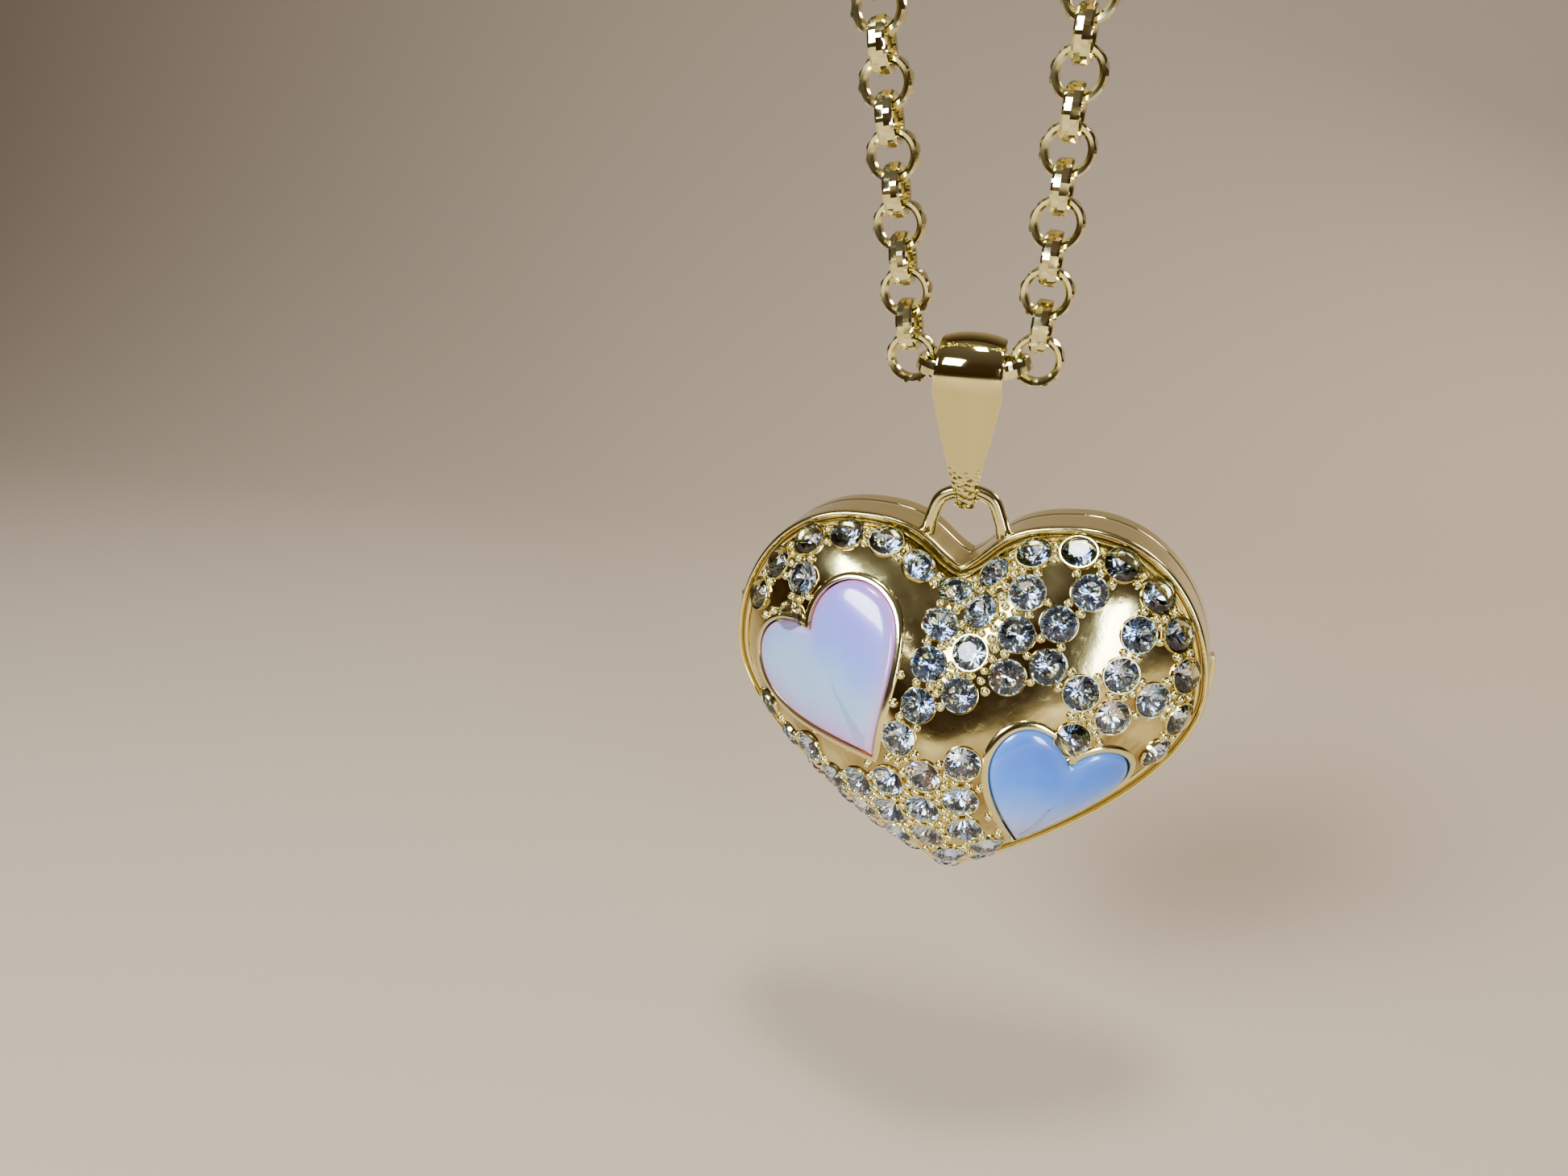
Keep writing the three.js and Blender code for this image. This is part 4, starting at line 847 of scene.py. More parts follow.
@dataclass(frozen=True)
class Dome:
    """The puffed front, heart-shaped at its rim and rounder towards its top."""

    rise: float
    rim: float = 0.88
    centre_drop: float = 14.4
    spread: float = 1.66
    fullness: float = 0.62
    calm_radius: float = 11.0

    @cache
    def _rim_table(self) -> tuple[Array, Array]:
        """Angles from straight up and the rim's distance from the dome's centre at each."""
        out = HEART.half(self.rim, 160) - (0, -self.centre_drop)
        return np.arctan2(out[:, 0], out[:, 1]), np.linalg.norm(out, axis=1)

    def reach(self, angle: Array) -> Array:
        """Distance from the dome's centre to its rim, by the angle from straight up."""
        return np.interp(np.abs(angle), *self._rim_table())

    def contour(self, reach: Array, level: Array) -> Array:
        """How far out a level line runs: the heart at level 1, a circle at level 0."""
        share = level**1.5
        return level * (reach * share + self.calm_radius * (1 - share))

    def height(self, level: Array) -> Array:
        """How far a level line stands out from the rim."""
        return self.rise * (1 - level**self.spread) ** self.fullness

    def level(self, x: Array, z: Array) -> Array:
        """The level under a point of the front view, from 0 at the top to 1 at the rim."""
        dz = z + self.centre_drop
        distance = np.hypot(x, dz)
        reach = self.reach(np.arctan2(x, dz))
        low, high = np.zeros_like(distance), np.ones_like(distance)
        for _ in range(30):
            middle = (low + high) / 2
            short = self.contour(reach, middle) < distance
            low = np.where(short, middle, low)
            high = np.where(short, high, middle)
        return high

    def point(self, x: Array, z: Array) -> Array:
        """The dome's surface over points of the front view."""
        x, z = np.broadcast_arrays(np.asarray(x, float), np.asarray(z, float))
        return np.stack([x, -self.height(self.level(x, z)), z], axis=-1)

    def normal(self, x: Array, z: Array) -> Array:
        """The way that the dome faces."""
        step = 0.12
        side = self.point(x + step, z) - self.point(x - step, z)
        up = self.point(x, z + step) - self.point(x, z - step)
        return unit(np.cross(side, up))

    def drop(self, base: Array, out: Array) -> Array:
        """The heights along out at which points meet the dome.

        Args:
            base: points near the dome.
            out: the outward way, one or one for each point.

        Returns:
            The heights, negative where the dome lies below the point.
        """
        low, high = np.full(len(base), -self.rise), np.full(len(base), 1.5)
        for _ in range(26):
            middle = (low + high) / 2
            q = base + out * middle[:, None]
            beyond = q[:, 1] < -self.height(self.level(q[:, 0], q[:, 2]))
            high = np.where(beyond, middle, high)
            low = np.where(beyond, low, middle)
        return low

    def arc_table(self) -> tuple[Array, Array]:
        """Levels and the length of surface from the top down to each."""
        levels = 1 - (1 - np.linspace(0, 1, 400)) ** 2
        out = self.contour(np.full(400, self.calm_radius + 3), levels)
        steps = np.hypot(np.diff(out), np.diff(self.height(levels)))
        return levels, np.concatenate([[0], np.cumsum(steps)])

    def unroll(self, points: Array) -> Array:
        """Lays surface points out flat, so that near ones stay near."""
        level = self.level(points[:, 0], points[:, 2])
        levels, lengths = self.arc_table()
        angle = np.arctan2(points[:, 0], points[:, 2] + self.centre_drop)
        length = np.interp(level, levels, lengths)
        return np.column_stack([length * np.sin(angle), length * np.cos(angle)])

    def roll(self, flat: Array) -> Array:
        """The surface points of a flat layout."""
        levels, lengths = self.arc_table()
        angle = np.arctan2(flat[:, 0], flat[:, 1])
        level = np.interp(np.linalg.norm(flat, axis=1), lengths, levels)
        out = self.contour(self.reach(angle), level)
        return np.column_stack([
            out * np.sin(angle), -self.height(level), out * np.cos(angle) - self.centre_drop,
        ])


SEAT_DOME = Dome(rise=7.0)
METAL_DOME = Dome(rise=6.72)


@dataclass(frozen=True)
class Inlay:
    """A small heart of shell, let into the dome inside a raised lip."""

    name: str
    finish: Nacre
    slot: Slot
    x: float
    drop: float
    tilt: float
    width: float
    aspect: float = 0.97
    depth: float = 0.85
    gap: float = 0.07
    lip: float = 0.46

    def outline(self, grow: float, steps: int = 16) -> Array:
        """The inlay's own flat outline, moved outwards by grow."""
        w, h = self.width / 2, self.aspect * self.width / 2
        arcs = [
            bezier([(0, 0.66 * h), (0.1 * w, 0.84 * h), (0.28 * w, h), (0.52 * w, h)], steps),
            bezier([(0.52 * w, h), (0.8 * w, h), (w, 0.72 * h), (w, 0.4 * h)], steps),
            bezier([(w, 0.4 * h), (w, -0.08 * h), (0.34 * w, -0.62 * h), (0, -h)], steps),
        ]
        whole = mirrored(np.vstack([arcs[0], arcs[1][1:], arcs[2][1:]]))
        way = unit(np.roll(whole, -1, axis=0) - np.roll(whole, 1, axis=0))
        return whole + grow * np.column_stack([-way[:, 1], way[:, 0]])

    def axes(self) -> tuple[Array, Array, Array, Array]:
        """The middle of the inlay on the dome, its outward way, and its own across and along."""
        x, z = np.array([self.x]), np.array([-self.drop])
        origin, out = SEAT_DOME.point(x, z)[0], SEAT_DOME.normal(x, z)[0]
        up = unit(np.array([0, 0, 1]) - out * out[2])
        right = np.cross(up, out)
        across = right * math.cos(self.tilt) + up * math.sin(self.tilt)
        along = up * math.cos(self.tilt) - right * math.sin(self.tilt)
        return origin, out, across, along

    def on_dome(self, flat: Array, lift: Array | float, dome: Dome) -> Array:
        """Points of the flat outline carried to the dome and lifted off it."""
        origin, out, across, along = self.axes()
        base = origin + flat[:, :1] * across + flat[:, 1:] * along
        return base + out * (dome.drop(base, out) + lift)[:, None]

    def covers(self, points: Array, grow: float) -> Array:
        """Which points of the dome lie on the inlay, its outline moved out by grow."""
        origin, _, across, along = self.axes()
        away = points - origin
        return inside_ring(np.column_stack([away @ across, away @ along]), self.outline(grow))


PINK = Inlay(
    "pink_pearl_heart", PINK_NACRE, Slot.PINK, x=-0.465 * HEART.half_width, drop=0.403 * HEART.height,
    tilt=math.radians(37), width=11.3,
)
BLUE = Inlay(
    "blue_pearl_heart", BLUE_NACRE, Slot.BLUE, x=0.443 * HEART.half_width, drop=0.672 * HEART.height,
    tilt=math.radians(-16), width=9.3,
)
INLAYS = (PINK, BLUE)


def locket_frame() -> Matrix:
    """The locket's own frame in the row frame, found from the back cover's box."""
    _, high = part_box("back_cover")
    wall_depth = 5.1
    return Matrix.Translation(high - Vector((HEART.half_width * MM, wall_depth * MM, 0)))


LOCKET_FRAME = locket_frame()


# ------------------------------------------------------------------------------ the stones
@dataclass(frozen=True)
class Seat:
    """One stone's place: its middle on the metal, the way it faces, and its group."""

    centre: Array
    out: Array
    row: int


@dataclass
class StoneLayout:
    """Where the stones stand: a rim row, stones nested against two others, and a last fill."""

    rim_inset: float = 1.35
    rim_pitch: float = 2.8
    nest: float = 2.7
    clearance: float = 2.5
    nest_reach: float = 4.32
    inlay_margin: float = 1.7
    fill_step: float = 0.3
    groups: int = 4
    sites: list[Array] = field(default_factory=list)

    def _settle(self, place: Array) -> None:
        """Keeps a place if no stone and no inlay is in its way."""
        clear = all(np.linalg.norm(other - place) > self.clearance for other in self.sites)
        if clear and not any(inlay.covers(place[None], self.inlay_margin)[0] for inlay in INLAYS):
            self.sites.append(place)

    def _rim_row(self) -> None:
        """Settles the row along the rim, evenly spaced on one half and mirrored."""
        flat = HEART.half(self.rim_inset, 200)
        half = SEAT_DOME.point(flat[:, 0], flat[:, 1])
        along = np.concatenate([[0], np.cumsum(np.linalg.norm(np.diff(half, axis=0), axis=1))])
        count = max(math.floor(along[-1] / self.rim_pitch + 0.5), 1)
        for j in range(count + 1):
            place = half[min(np.searchsorted(along, j * along[-1] / count - 1e-9), len(half) - 1)]
            for side in (1,) if place[0] < 0.05 else (1, -1):
                self._settle(place * (side, 1, 1))

    def _nested(self, a: Array, b: Array) -> list[Array]:
        """The two places on the dome that are a nesting distance from both of two stones."""
        middle = (a + b) / 2
        out = SEAT_DOME.normal(middle[:1], middle[2:])[0]
        across = unit(np.cross(out, b - a))
        aside = math.sqrt(self.nest**2 - ((a - b) @ (a - b)) / 4)
        places = []
        for step in (aside, -aside):
            base = middle + step * across
            spot = base + out * SEAT_DOME.drop(base[None], out[None])[0]
            places.append(SEAT_DOME.point(spot[:1], spot[2:])[0])
        return places

    def _fill(self, region: Array) -> Array:
        """Fine rows of places from the top down, for the gaps that nesting leaves."""
        rows = math.ceil(HEART.height / self.fill_step)
        columns = math.floor(HEART.half_width / self.fill_step)
        grid = np.array([(x, -z) for z in range(1, rows) for x in range(-columns, columns + 1)]) * self.fill_step
        inner = grid[inside_ring(grid, region)]
        return SEAT_DOME.point(inner[:, 0], inner[:, 1])

    def seats(self) -> list[Seat]:
        """Lays the stones out.

        Returns:
            A seat for each stone, clear of the inlays and of each other.
        """
        self._rim_row()
        region = mirrored(HEART.half(self.rim_inset - 0.05, 160))
        i = 1
        while i < len(self.sites):
            for j in range(i):
                if np.linalg.norm(self.sites[i] - self.sites[j]) > self.nest_reach:
                    continue
                for place in self._nested(self.sites[i], self.sites[j]):
                    if inside_ring(place[None, ::2], region)[0]:
                        self._settle(place)
            i += 1
        for place in self._fill(region):
            self._settle(place)
        spots = np.array(self.sites)
        centres = METAL_DOME.point(spots[:, 0], spots[:, 2])
        outs = METAL_DOME.normal(spots[:, 0], spots[:, 2])
        share = math.ceil(len(spots) / self.groups)
        return [Seat(c, n, k // share) for k, (c, n) in enumerate(zip(centres, outs))]


@dataclass
class Crystals:
    """Round foiled crystals, each a cut crown of clear glass on a mirrored point."""

    seats: list[Seat]
    radius: float = 1.1
    crown: float = 0.42
    table: float = 0.58
    depth: float = 0.86
    lift: float = 0.05
    wobble: float = 0.03

    def _corners(self) -> Array:
        """The corners of one stone, its girdle in the plane of Z."""
        def circle(count: int, turn: float, radius: float, height: float) -> list[tuple]:
            """Evenly spaced corners at one radius and height."""
            return [
                (radius * math.cos(TAU * (k + turn) / count), radius * math.sin(TAU * (k + turn) / count), height)
                for k in range(count)
            ]
        r, edge = self.radius, 0.03
        return np.array([
            *circle(8, 0, self.table * r, self.crown),
            *circle(8, 0.5, 0.8 * r, 0.6 * self.crown),
            *circle(16, 0, r, edge),
            *circle(16, 0, r, -edge),
            *circle(8, 0.5, 0.3 * r, -0.74 * self.depth),
            (0, 0, -self.depth),
        ])

    def _facets(self) -> tuple[list[tuple], list[int]]:
        """The facets of one stone and which of them are foiled."""
        table, star, girdle, under, lower, point = 0, 8, 16, 32, 48, 56
        crown: list[tuple] = [tuple(range(8))]
        foiled: list[tuple] = []
        for k in range(8):
            n, before = (k + 1) % 8, (k - 1) % 8
            a, b, c = 2 * k, 2 * k + 1, (2 * k + 2) % 16
            crown.append((table + k, table + n, star + k))
            crown.append((table + k, star + before, girdle + a, star + k))
            crown.append((star + k, girdle + a, girdle + b))
            crown.append((star + k, girdle + b, girdle + c))
            foiled.append((point, lower + before, under + a, lower + k))
            foiled.append((lower + k, under + a, under + b))
            foiled.append((lower + k, under + b, under + c))
        crown += [(girdle + k, girdle + (k + 1) % 16, under + (k + 1) % 16, under + k) for k in range(16)]
        return crown + foiled, [0] * len(crown) + [1] * len(foiled)

    def build(self) -> None:
        """Sets every stone in its seat, one piece for each group."""
        corners = self._corners()
        facets, kinds = self._facets()
        rng = random.Random(11)
        for row in sorted({seat.row for seat in self.seats}):
            draft = Draft()
            glint_tones: list[float] = []
            for seat in (s for s in self.seats if s.row == row):
                tilt = [rng.uniform(-self.wobble, self.wobble) for _ in range(3)]
                turn = np.array((facing(seat.out + tilt) @ Matrix.Rotation(rng.uniform(0, TAU), 4, "Z")).to_3x3())
                points = corners @ turn.T + seat.centre + seat.out * self.lift
                numbers = draft.add(points)
                # each facet gets a random painted reflection value, brighter or darker by one shift for the whole
                # stone
                glint_shift = rng.uniform(-0.1, 0.1)
                for facet, kind in zip(facets, kinds):
                    draft.face([numbers[k] for k in facet], kind)
                    glint_tones.append(min(max(rng.random() ** 0.8 + glint_shift, 0), 1))
            draft.build(
                f"crystals_{row + 1}", (CRYSTAL, FOIL), Body.LOCKET, crease=1,
                marks={"tone": ("FACE", np.array(glint_tones))},
            )


@dataclass
class Beads:
    """Gold beads raised in the corners between the stones and along the rim, as prongs."""

    seats: list[Seat]
    radius: float = 0.29
    reach: float = 3.5
    stone: float = 1.2
    spacing: float = 0.56

    def _corners(self) -> tuple[Array, Array]:
        """The points between neighbouring stones that stay clear of every stone.

        Returns:
            The beads' middles and the ways that they face.
        """
        centres = np.array([s.centre for s in self.seats])
        spots, ways = [], []
        for i, a in enumerate(self.seats):
            for b in self.seats[i + 1 :]:
                gap = np.linalg.norm(b.centre - a.centre)
                if gap > self.reach:
                    continue
                out = unit(a.out + b.out)
                across = unit(np.cross(out, b.centre - a.centre))
                aside = math.sqrt(max((self.stone + 0.22) ** 2 - (gap / 2) ** 2, 0.12))
                for side in (-1, 1):
                    spots.append((a.centre + b.centre) / 2 + side * aside * across)
                    ways.append(out)
        base, out = np.array(spots), np.array(ways)
        landed = base + out * METAL_DOME.drop(base, out)[:, None]
        kept, facings = [], []
        for spot, way in zip(landed, out):
            clear = np.min(np.linalg.norm(centres - spot, axis=1)) > self.stone + 0.1
            apart = all(np.linalg.norm(other - spot) > self.spacing for other in kept)
            free = not any(inlay.covers(spot[None], 0.75)[0] for inlay in INLAYS)
            if clear and apart and free:
                kept.append(spot)
                facings.append(way)
        return np.array(kept), np.array(facings)

    def _lip_beads(self, taken: Array) -> Array:
        """Beads that lean on the inlays' lips wherever there is room."""
        centres = np.array([s.centre for s in self.seats])
        kept: list[Array] = []
        for inlay in INLAYS:
            line = inlay.outline(0.72, 30)
            spots = inlay.on_dome(line, np.zeros(len(line)), METAL_DOME)
            for spot in spots:
                stones = np.linalg.norm(centres - spot, axis=1)
                near = np.sort(stones)[:2]
                others = [*taken, *kept]
                apart = all(np.linalg.norm(other - spot) > 0.75 for other in others)
                if near[0] > self.stone + 0.16 and near[1] < 2.35 and apart:
                    kept.append(spot)
        return np.array(kept).reshape(-1, 3)

    def build(self) -> None:
        """Raises the beads as one piece."""
        rng = random.Random(5)
        spots, ways = self._corners()
        lips = self._lip_beads(spots)
        lip_ways = METAL_DOME.normal(lips[:, 0], lips[:, 2])
        draft = Draft()
        for spot, way in zip(np.vstack([spots, lips]), np.vstack([ways, lip_ways])):
            radius = self.radius * rng.uniform(0.88, 1.08)
            draft.ball(spot + way * 0.06, way, radius, 1.05)
        draft.build("prong_beads", BEAD_GOLD, Body.LOCKET, Slot.GOLD)


# ------------------------------------------------------------------------------ the front half
@dataclass
class FrontHalf:
    """The cast front: puffed face with its seats and lips, double rim, wall and hollow back."""

    seats: list[Seat]
    seam: float = 3.175
    wall: float = 0.8
    shelf: float = 2.275
    cavity_edge: float = 2.6
    cavity_rise: float = 3.6
    cup_radius: float = 1.2
    cup_crest: float = 0.14
    cup_inner: float = 1.1
    seat_depth: float = 0.98
    cup_sides: int = 24
    web: float = 0.42
    rim_level: float = 0.985
    rim_strip: float = 0.3
    ring_margin: float = 1.12
    lip_margin: float = 1.015
    cup_gap: float = 0.05

    def _cup_lines(self) -> list[Array]:
        """The line where each cup meets the dome, as surface points."""
        turns = np.arange(self.cup_sides) * TAU / self.cup_sides
        circle = np.column_stack([np.cos(turns), np.sin(turns), np.zeros(self.cup_sides)])
        bases, outs = [], []
        for seat in self.seats:
            turn = np.array(facing(seat.out).to_3x3())
            bases.append(seat.centre + self.cup_radius * circle @ turn.T)
            outs.append(np.repeat(seat.out[None], self.cup_sides, axis=0))
        base, out = np.vstack(bases), np.vstack(outs)
        landed = base + out * METAL_DOME.drop(base, out)[:, None]
        return np.split(landed, len(self.seats))

    def _lip_lines(self) -> list[Array]:
        """The line where each inlay's lip meets the dome."""
        lines = []
        for inlay in INLAYS:
            outline = inlay.outline(inlay.gap + inlay.lip)
            lines.append(inlay.on_dome(outline, np.zeros(len(outline)), METAL_DOME))
        return lines

    def _face(self, draft: Draft) -> list[int]:
        """Adds the puffed face with its cups and lips.

        Returns:
            The numbers of the points along its rim.
        """
        dome = METAL_DOME
        levels, lengths = dome.arc_table()
        inner_limit = np.interp(self.rim_level, levels, lengths)
        rim = HEART.ring(dome.rim, 0.0)
        flats = self._fit_rings([dome.unroll(hole) for hole in self._cup_lines() + self._lip_lines()], inner_limit)
        edge = unit(dome.unroll(rim)) * lengths[-1]
        side = np.arange(-lengths[-1], lengths[-1], self.web)
        grid = np.array([
            (x + (self.web / 2 if row % 2 else 0), y * 0.866)
            for row, y in enumerate(np.arange(-lengths[-1] * 1.2, lengths[-1] * 1.2, self.web)) for x in side
        ])
        keep = np.linalg.norm(grid, axis=1) < lengths[-1] - self.rim_strip
        for flat in flats:
            middle = flat.mean(axis=0)
            keep &= ~inside_ring(grid, middle + (flat - middle) * self.ring_margin)
        coords = np.vstack([edge, *flats, grid[keep]])
        loops = [list(range(len(edge)))]
        for flat in flats:
            start = loops[-1][-1] + 1
            loops.append(list(range(start, start + len(flat))))
        spots, _, faces, origins, _, _ = delaunay_2d_cdt([Vector(c) for c in coords], [], loops, 0, 1e-5)
        where = {old: new for new, olds in enumerate(origins) for old in olds}
        laid = np.array([tuple(s) for s in spots])
        numbers = draft.add(dome.roll(laid))
        middles = laid[np.array(faces)].mean(axis=1)
        skin = ~np.any([inside_ring(middles, flat) for flat in flats], axis=0)
        for face in np.array(faces)[skin]:
            draft.face([numbers[k] for k in face])
        rings = [[numbers[where[k]] for k in loop] for loop in loops]
        for seat, ring in zip(self.seats, rings[1:]):
            self._cup(draft, seat, ring)
        for inlay, ring in zip(INLAYS, rings[1 + len(self.seats) :]):
            self._lip(draft, inlay, ring)
        return rings[0]

    def _fit_rings(self, flats: list[Array], limit: float) -> list[Array]:
        """Draws in the cups' rings wherever they would cross the rim, a lip or each other.

        Args:
            flats: the rings laid out flat, the lips' last.
            limit: the farthest that a ring may reach from the dome's top.

        Returns:
            The rings, clear of one another.
        """
        rings = []
        for flat in flats:
            length = np.linalg.norm(flat, axis=1, keepdims=True)
            rings.append(flat * np.minimum(1, limit / np.maximum(length, 1e-9)))
        lips = [
            ring.mean(axis=0) + (ring - ring.mean(axis=0)) * self.lip_margin for ring in rings[len(self.seats) :]
        ]
        seats = METAL_DOME.unroll(np.array([seat.centre for seat in self.seats]))
        for k, middle in enumerate(seats):
            away = rings[k] - middle
            for other in np.delete(seats, k, axis=0):
                span = np.linalg.norm(other - middle)
                if span < 2.6 * self.cup_radius:
                    share = away @ ((other - middle) / span) / ((span - self.cup_gap) / 2)
                    away = away / np.maximum(share, 1)[:, None]
            for _ in range(12):
                for lip in lips:
                    away[inside_ring(middle + away, lip)] *= 0.95
            rings[k] = middle + away
        return rings

    def _cup(self, draft: Draft, seat: Seat, ring: list[int]) -> None:
        """Raises a thin cup round a seat and closes its floor."""
        turn = np.array(facing(seat.out).to_3x3())
        turns = np.arange(self.cup_sides) * TAU / self.cup_sides
        circle = np.column_stack([np.cos(turns), np.sin(turns), np.zeros(self.cup_sides)])
        crest = (self.cup_radius + self.cup_inner) / 2
        profile = [
            (self.cup_radius - 0.01, 0.5 * self.cup_crest), (crest + 0.02, self.cup_crest),
            (crest - 0.02, self.cup_crest), (self.cup_inner, 0.6 * self.cup_crest),
            (self.cup_inner, -0.5 * self.seat_depth), (0.8 * self.cup_inner, -self.seat_depth),
        ]
        rows = [seat.centre + (r * circle) @ turn.T + h * seat.out for r, h in profile]
        draft.face(draft.grow(ring, rows))

    def _lip(self, draft: Draft, inlay: Inlay, ring: list[int]) -> None:
        """Raises the rounded lip round an inlay and sinks its floor."""
        profile = [
            (inlay.lip, 0.07), (0.8 * inlay.lip, 0.16), (0.45 * inlay.lip, 0.2), (0.15 * inlay.lip, 0.17),
            (0.0, 0.08), (0.0, -inlay.depth - 0.1), (-2.0, -inlay.depth - 0.1),
        ]
        rows = []
        for grow, lift in profile:
            outline = inlay.outline(inlay.gap + max(grow, -0.3))
            if grow < -1:
                outline = 0.6 * outline
            rows.append(inlay.on_dome(outline, np.full(len(outline), lift), METAL_DOME))
        draft.face(draft.grow(ring, rows))

    def _profile(self) -> list[tuple[float, float]]:
        """Rim, groove, wall and underside as pairs of inset and depth."""
        ridge = [(0.86, -0.05), (0.79, -0.1), (0.7, -0.11), (0.61, -0.09), (0.56, -0.02)]
        groove = [(0.53, 0.12), (0.47, 0.2), (0.41, 0.2), (0.36, 0.12)]
        rim = [(0.33, -0.01), (0.28, -0.08), (0.19, -0.11), (0.1, -0.08), (0.03, 0.02), (0.0, 0.16)]
        wall = [(0.0, 0.2 + 0.35 * k) for k in range(1, 8)]
        foot = [(0.0, self.seam - 0.12), (0.03, self.seam - 0.04), (0.1, self.seam), (self.wall - 0.05, self.seam)]
        inside = [(self.wall, self.seam - 0.04), (self.wall, self.shelf), (self.cavity_edge, self.shelf)]
        return ridge + groove + rim + wall + foot + inside

    def build(self) -> None:
        """Makes the front half with its knuckles."""
        draft = Draft()
        rim = self._face(draft)
        last = draft.grow(rim, [HEART.ring(inset, y) for inset, y in self._profile()])
        start = self.shelf - 0.6
        edge = HEART.ring(self.cavity_edge, 0.0)
        centre = np.array([0, 0, -METAL_DOME.centre_drop])
        hollow = []
        for degrees in (0, 12, 24, 36, 48, 60, 72, 82):
            a = math.radians(degrees)
            ring = centre + (edge - centre) * math.cos(a)
            ring[:, 1] = start - self.cavity_rise * math.sin(a)
            hollow.append(ring)
        draft.face(draft.grow(last, hollow))
        HingeBarrel().add_knuckles(draft, (0, 2))
        draft.build("front_shell_cast", CAST_GOLD, Body.LOCKET, Slot.GOLD, ["front_shell"], crease=40)


@dataclass
class PearlHearts:
    """The two polished shell hearts in their lips."""

    steps: tuple[tuple[float, float], ...] = (
        (0.0, -0.86), (0.0, -0.5), (0.0, -0.2), (-0.03, -0.04), (-0.11, 0.1), (-0.24, 0.2),
        (-0.42, 0.26), (-0.68, 0.29), (-1.05, 0.31),
    )

    def build(self) -> None:
        """Makes both hearts."""
        for inlay in INLAYS:
            self._heart(inlay)

    def _heart(self, inlay: Inlay) -> None:
        """Lofts one heart over the dome, with its own across and along marked for the colour."""
        origin, _, across, along = inlay.axes()
        rows, borders = [], []
        for grow, lift in self.steps:
            outline = inlay.outline(grow)
            rows.append(inlay.on_dome(outline, np.full(len(outline), lift), METAL_DOME))
            borders += [math.exp(grow * 2.2)] * len(outline)
        inner = inlay.outline(self.steps[-1][0])
        for share in (0.85, 0.68, 0.5, 0.32, 0.14):
            rows.append(inlay.on_dome(share * inner, np.full(len(inner), 0.32 + 0.06 * (1 - share)), METAL_DOME))
            borders += [0.05 * share] * len(inner)
        local = [row - origin for row in rows]
        points = np.vstack(local)
        draft = Draft()
        draft.loft(local)
        place = LOCKET_FRAME @ Matrix.Translation(Vector(origin * MM))
        draft.build(
            f"{inlay.name}_polished", inlay.finish, Body.LOCKET, inlay.slot, [inlay.name], place=place, crease=60,
            marks={
                "border": ("POINT", np.array(borders)), "across": ("POINT", points @ across),
                "along": ("POINT", points @ along),
            },
        )


# ------------------------------------------------------------------------------ hinge and back
@dataclass
class HingeBarrel:
    """The three-knuckle barrel on the left and its pin."""

    x: float = -15.9
    depth: float = 3.2
    knuckles: int = 3
    length: float = 1.7
    gap: float = 0.06
    radius: float = 0.72
    pin_radius: float = 0.3

    def _span(self, k: int) -> tuple[float, float]:
        """Lowest and highest z of a knuckle, counted from the bottom."""
        whole = self.knuckles * self.length + (self.knuckles - 1) * self.gap
        low = -HEART.widest_drop - whole / 2 + k * (self.length + self.gap)
        return low, low + self.length

    def _place(self, z: float) -> Matrix:
        """A frame on the barrel's axis."""
        return Matrix.Translation(Vector((self.x, self.depth, z)))

    def add_knuckles(self, draft: Draft, which: Sequence[int]) -> None:
        """Adds knuckles with softened ends to a half's mesh."""
        soft = 0.1
        for k in which:
            low, high = self._span(k)
            span = high - low
            bore = self.pin_radius + 0.05
            profile = [
                (bore, 0.0), (self.radius - soft, 0.0), (self.radius - 0.03, 0.03), (self.radius, soft),
                (self.radius, span / 2), (self.radius, span - soft), (self.radius - 0.03, span - 0.03),
                (self.radius - soft, span), (bore, span),
            ]
            draft.wheel(profile, self._place(low), 40)

    def build_pin(self) -> None:
        """Makes the pin with its two peened heads."""
        draft = Draft()
        low, high = self._span(0)[0] - 0.1, self._span(self.knuckles - 1)[1] + 0.1
        span = high - low
        r = self.pin_radius
        profile = [
            (0.4 * r, 0.0), (0.8 * r, 0.03), (r, 0.09), (r, span / 2), (r, span - 0.09), (0.8 * r, span - 0.03),
            (0.4 * r, span),
        ]
        draft.turned(profile, self._place(low), 28)
        draft.build("hinge_pin_peened", INNER_GOLD, Body.LOCKET, Slot.INNER_GOLD, ["hinge_pin"])


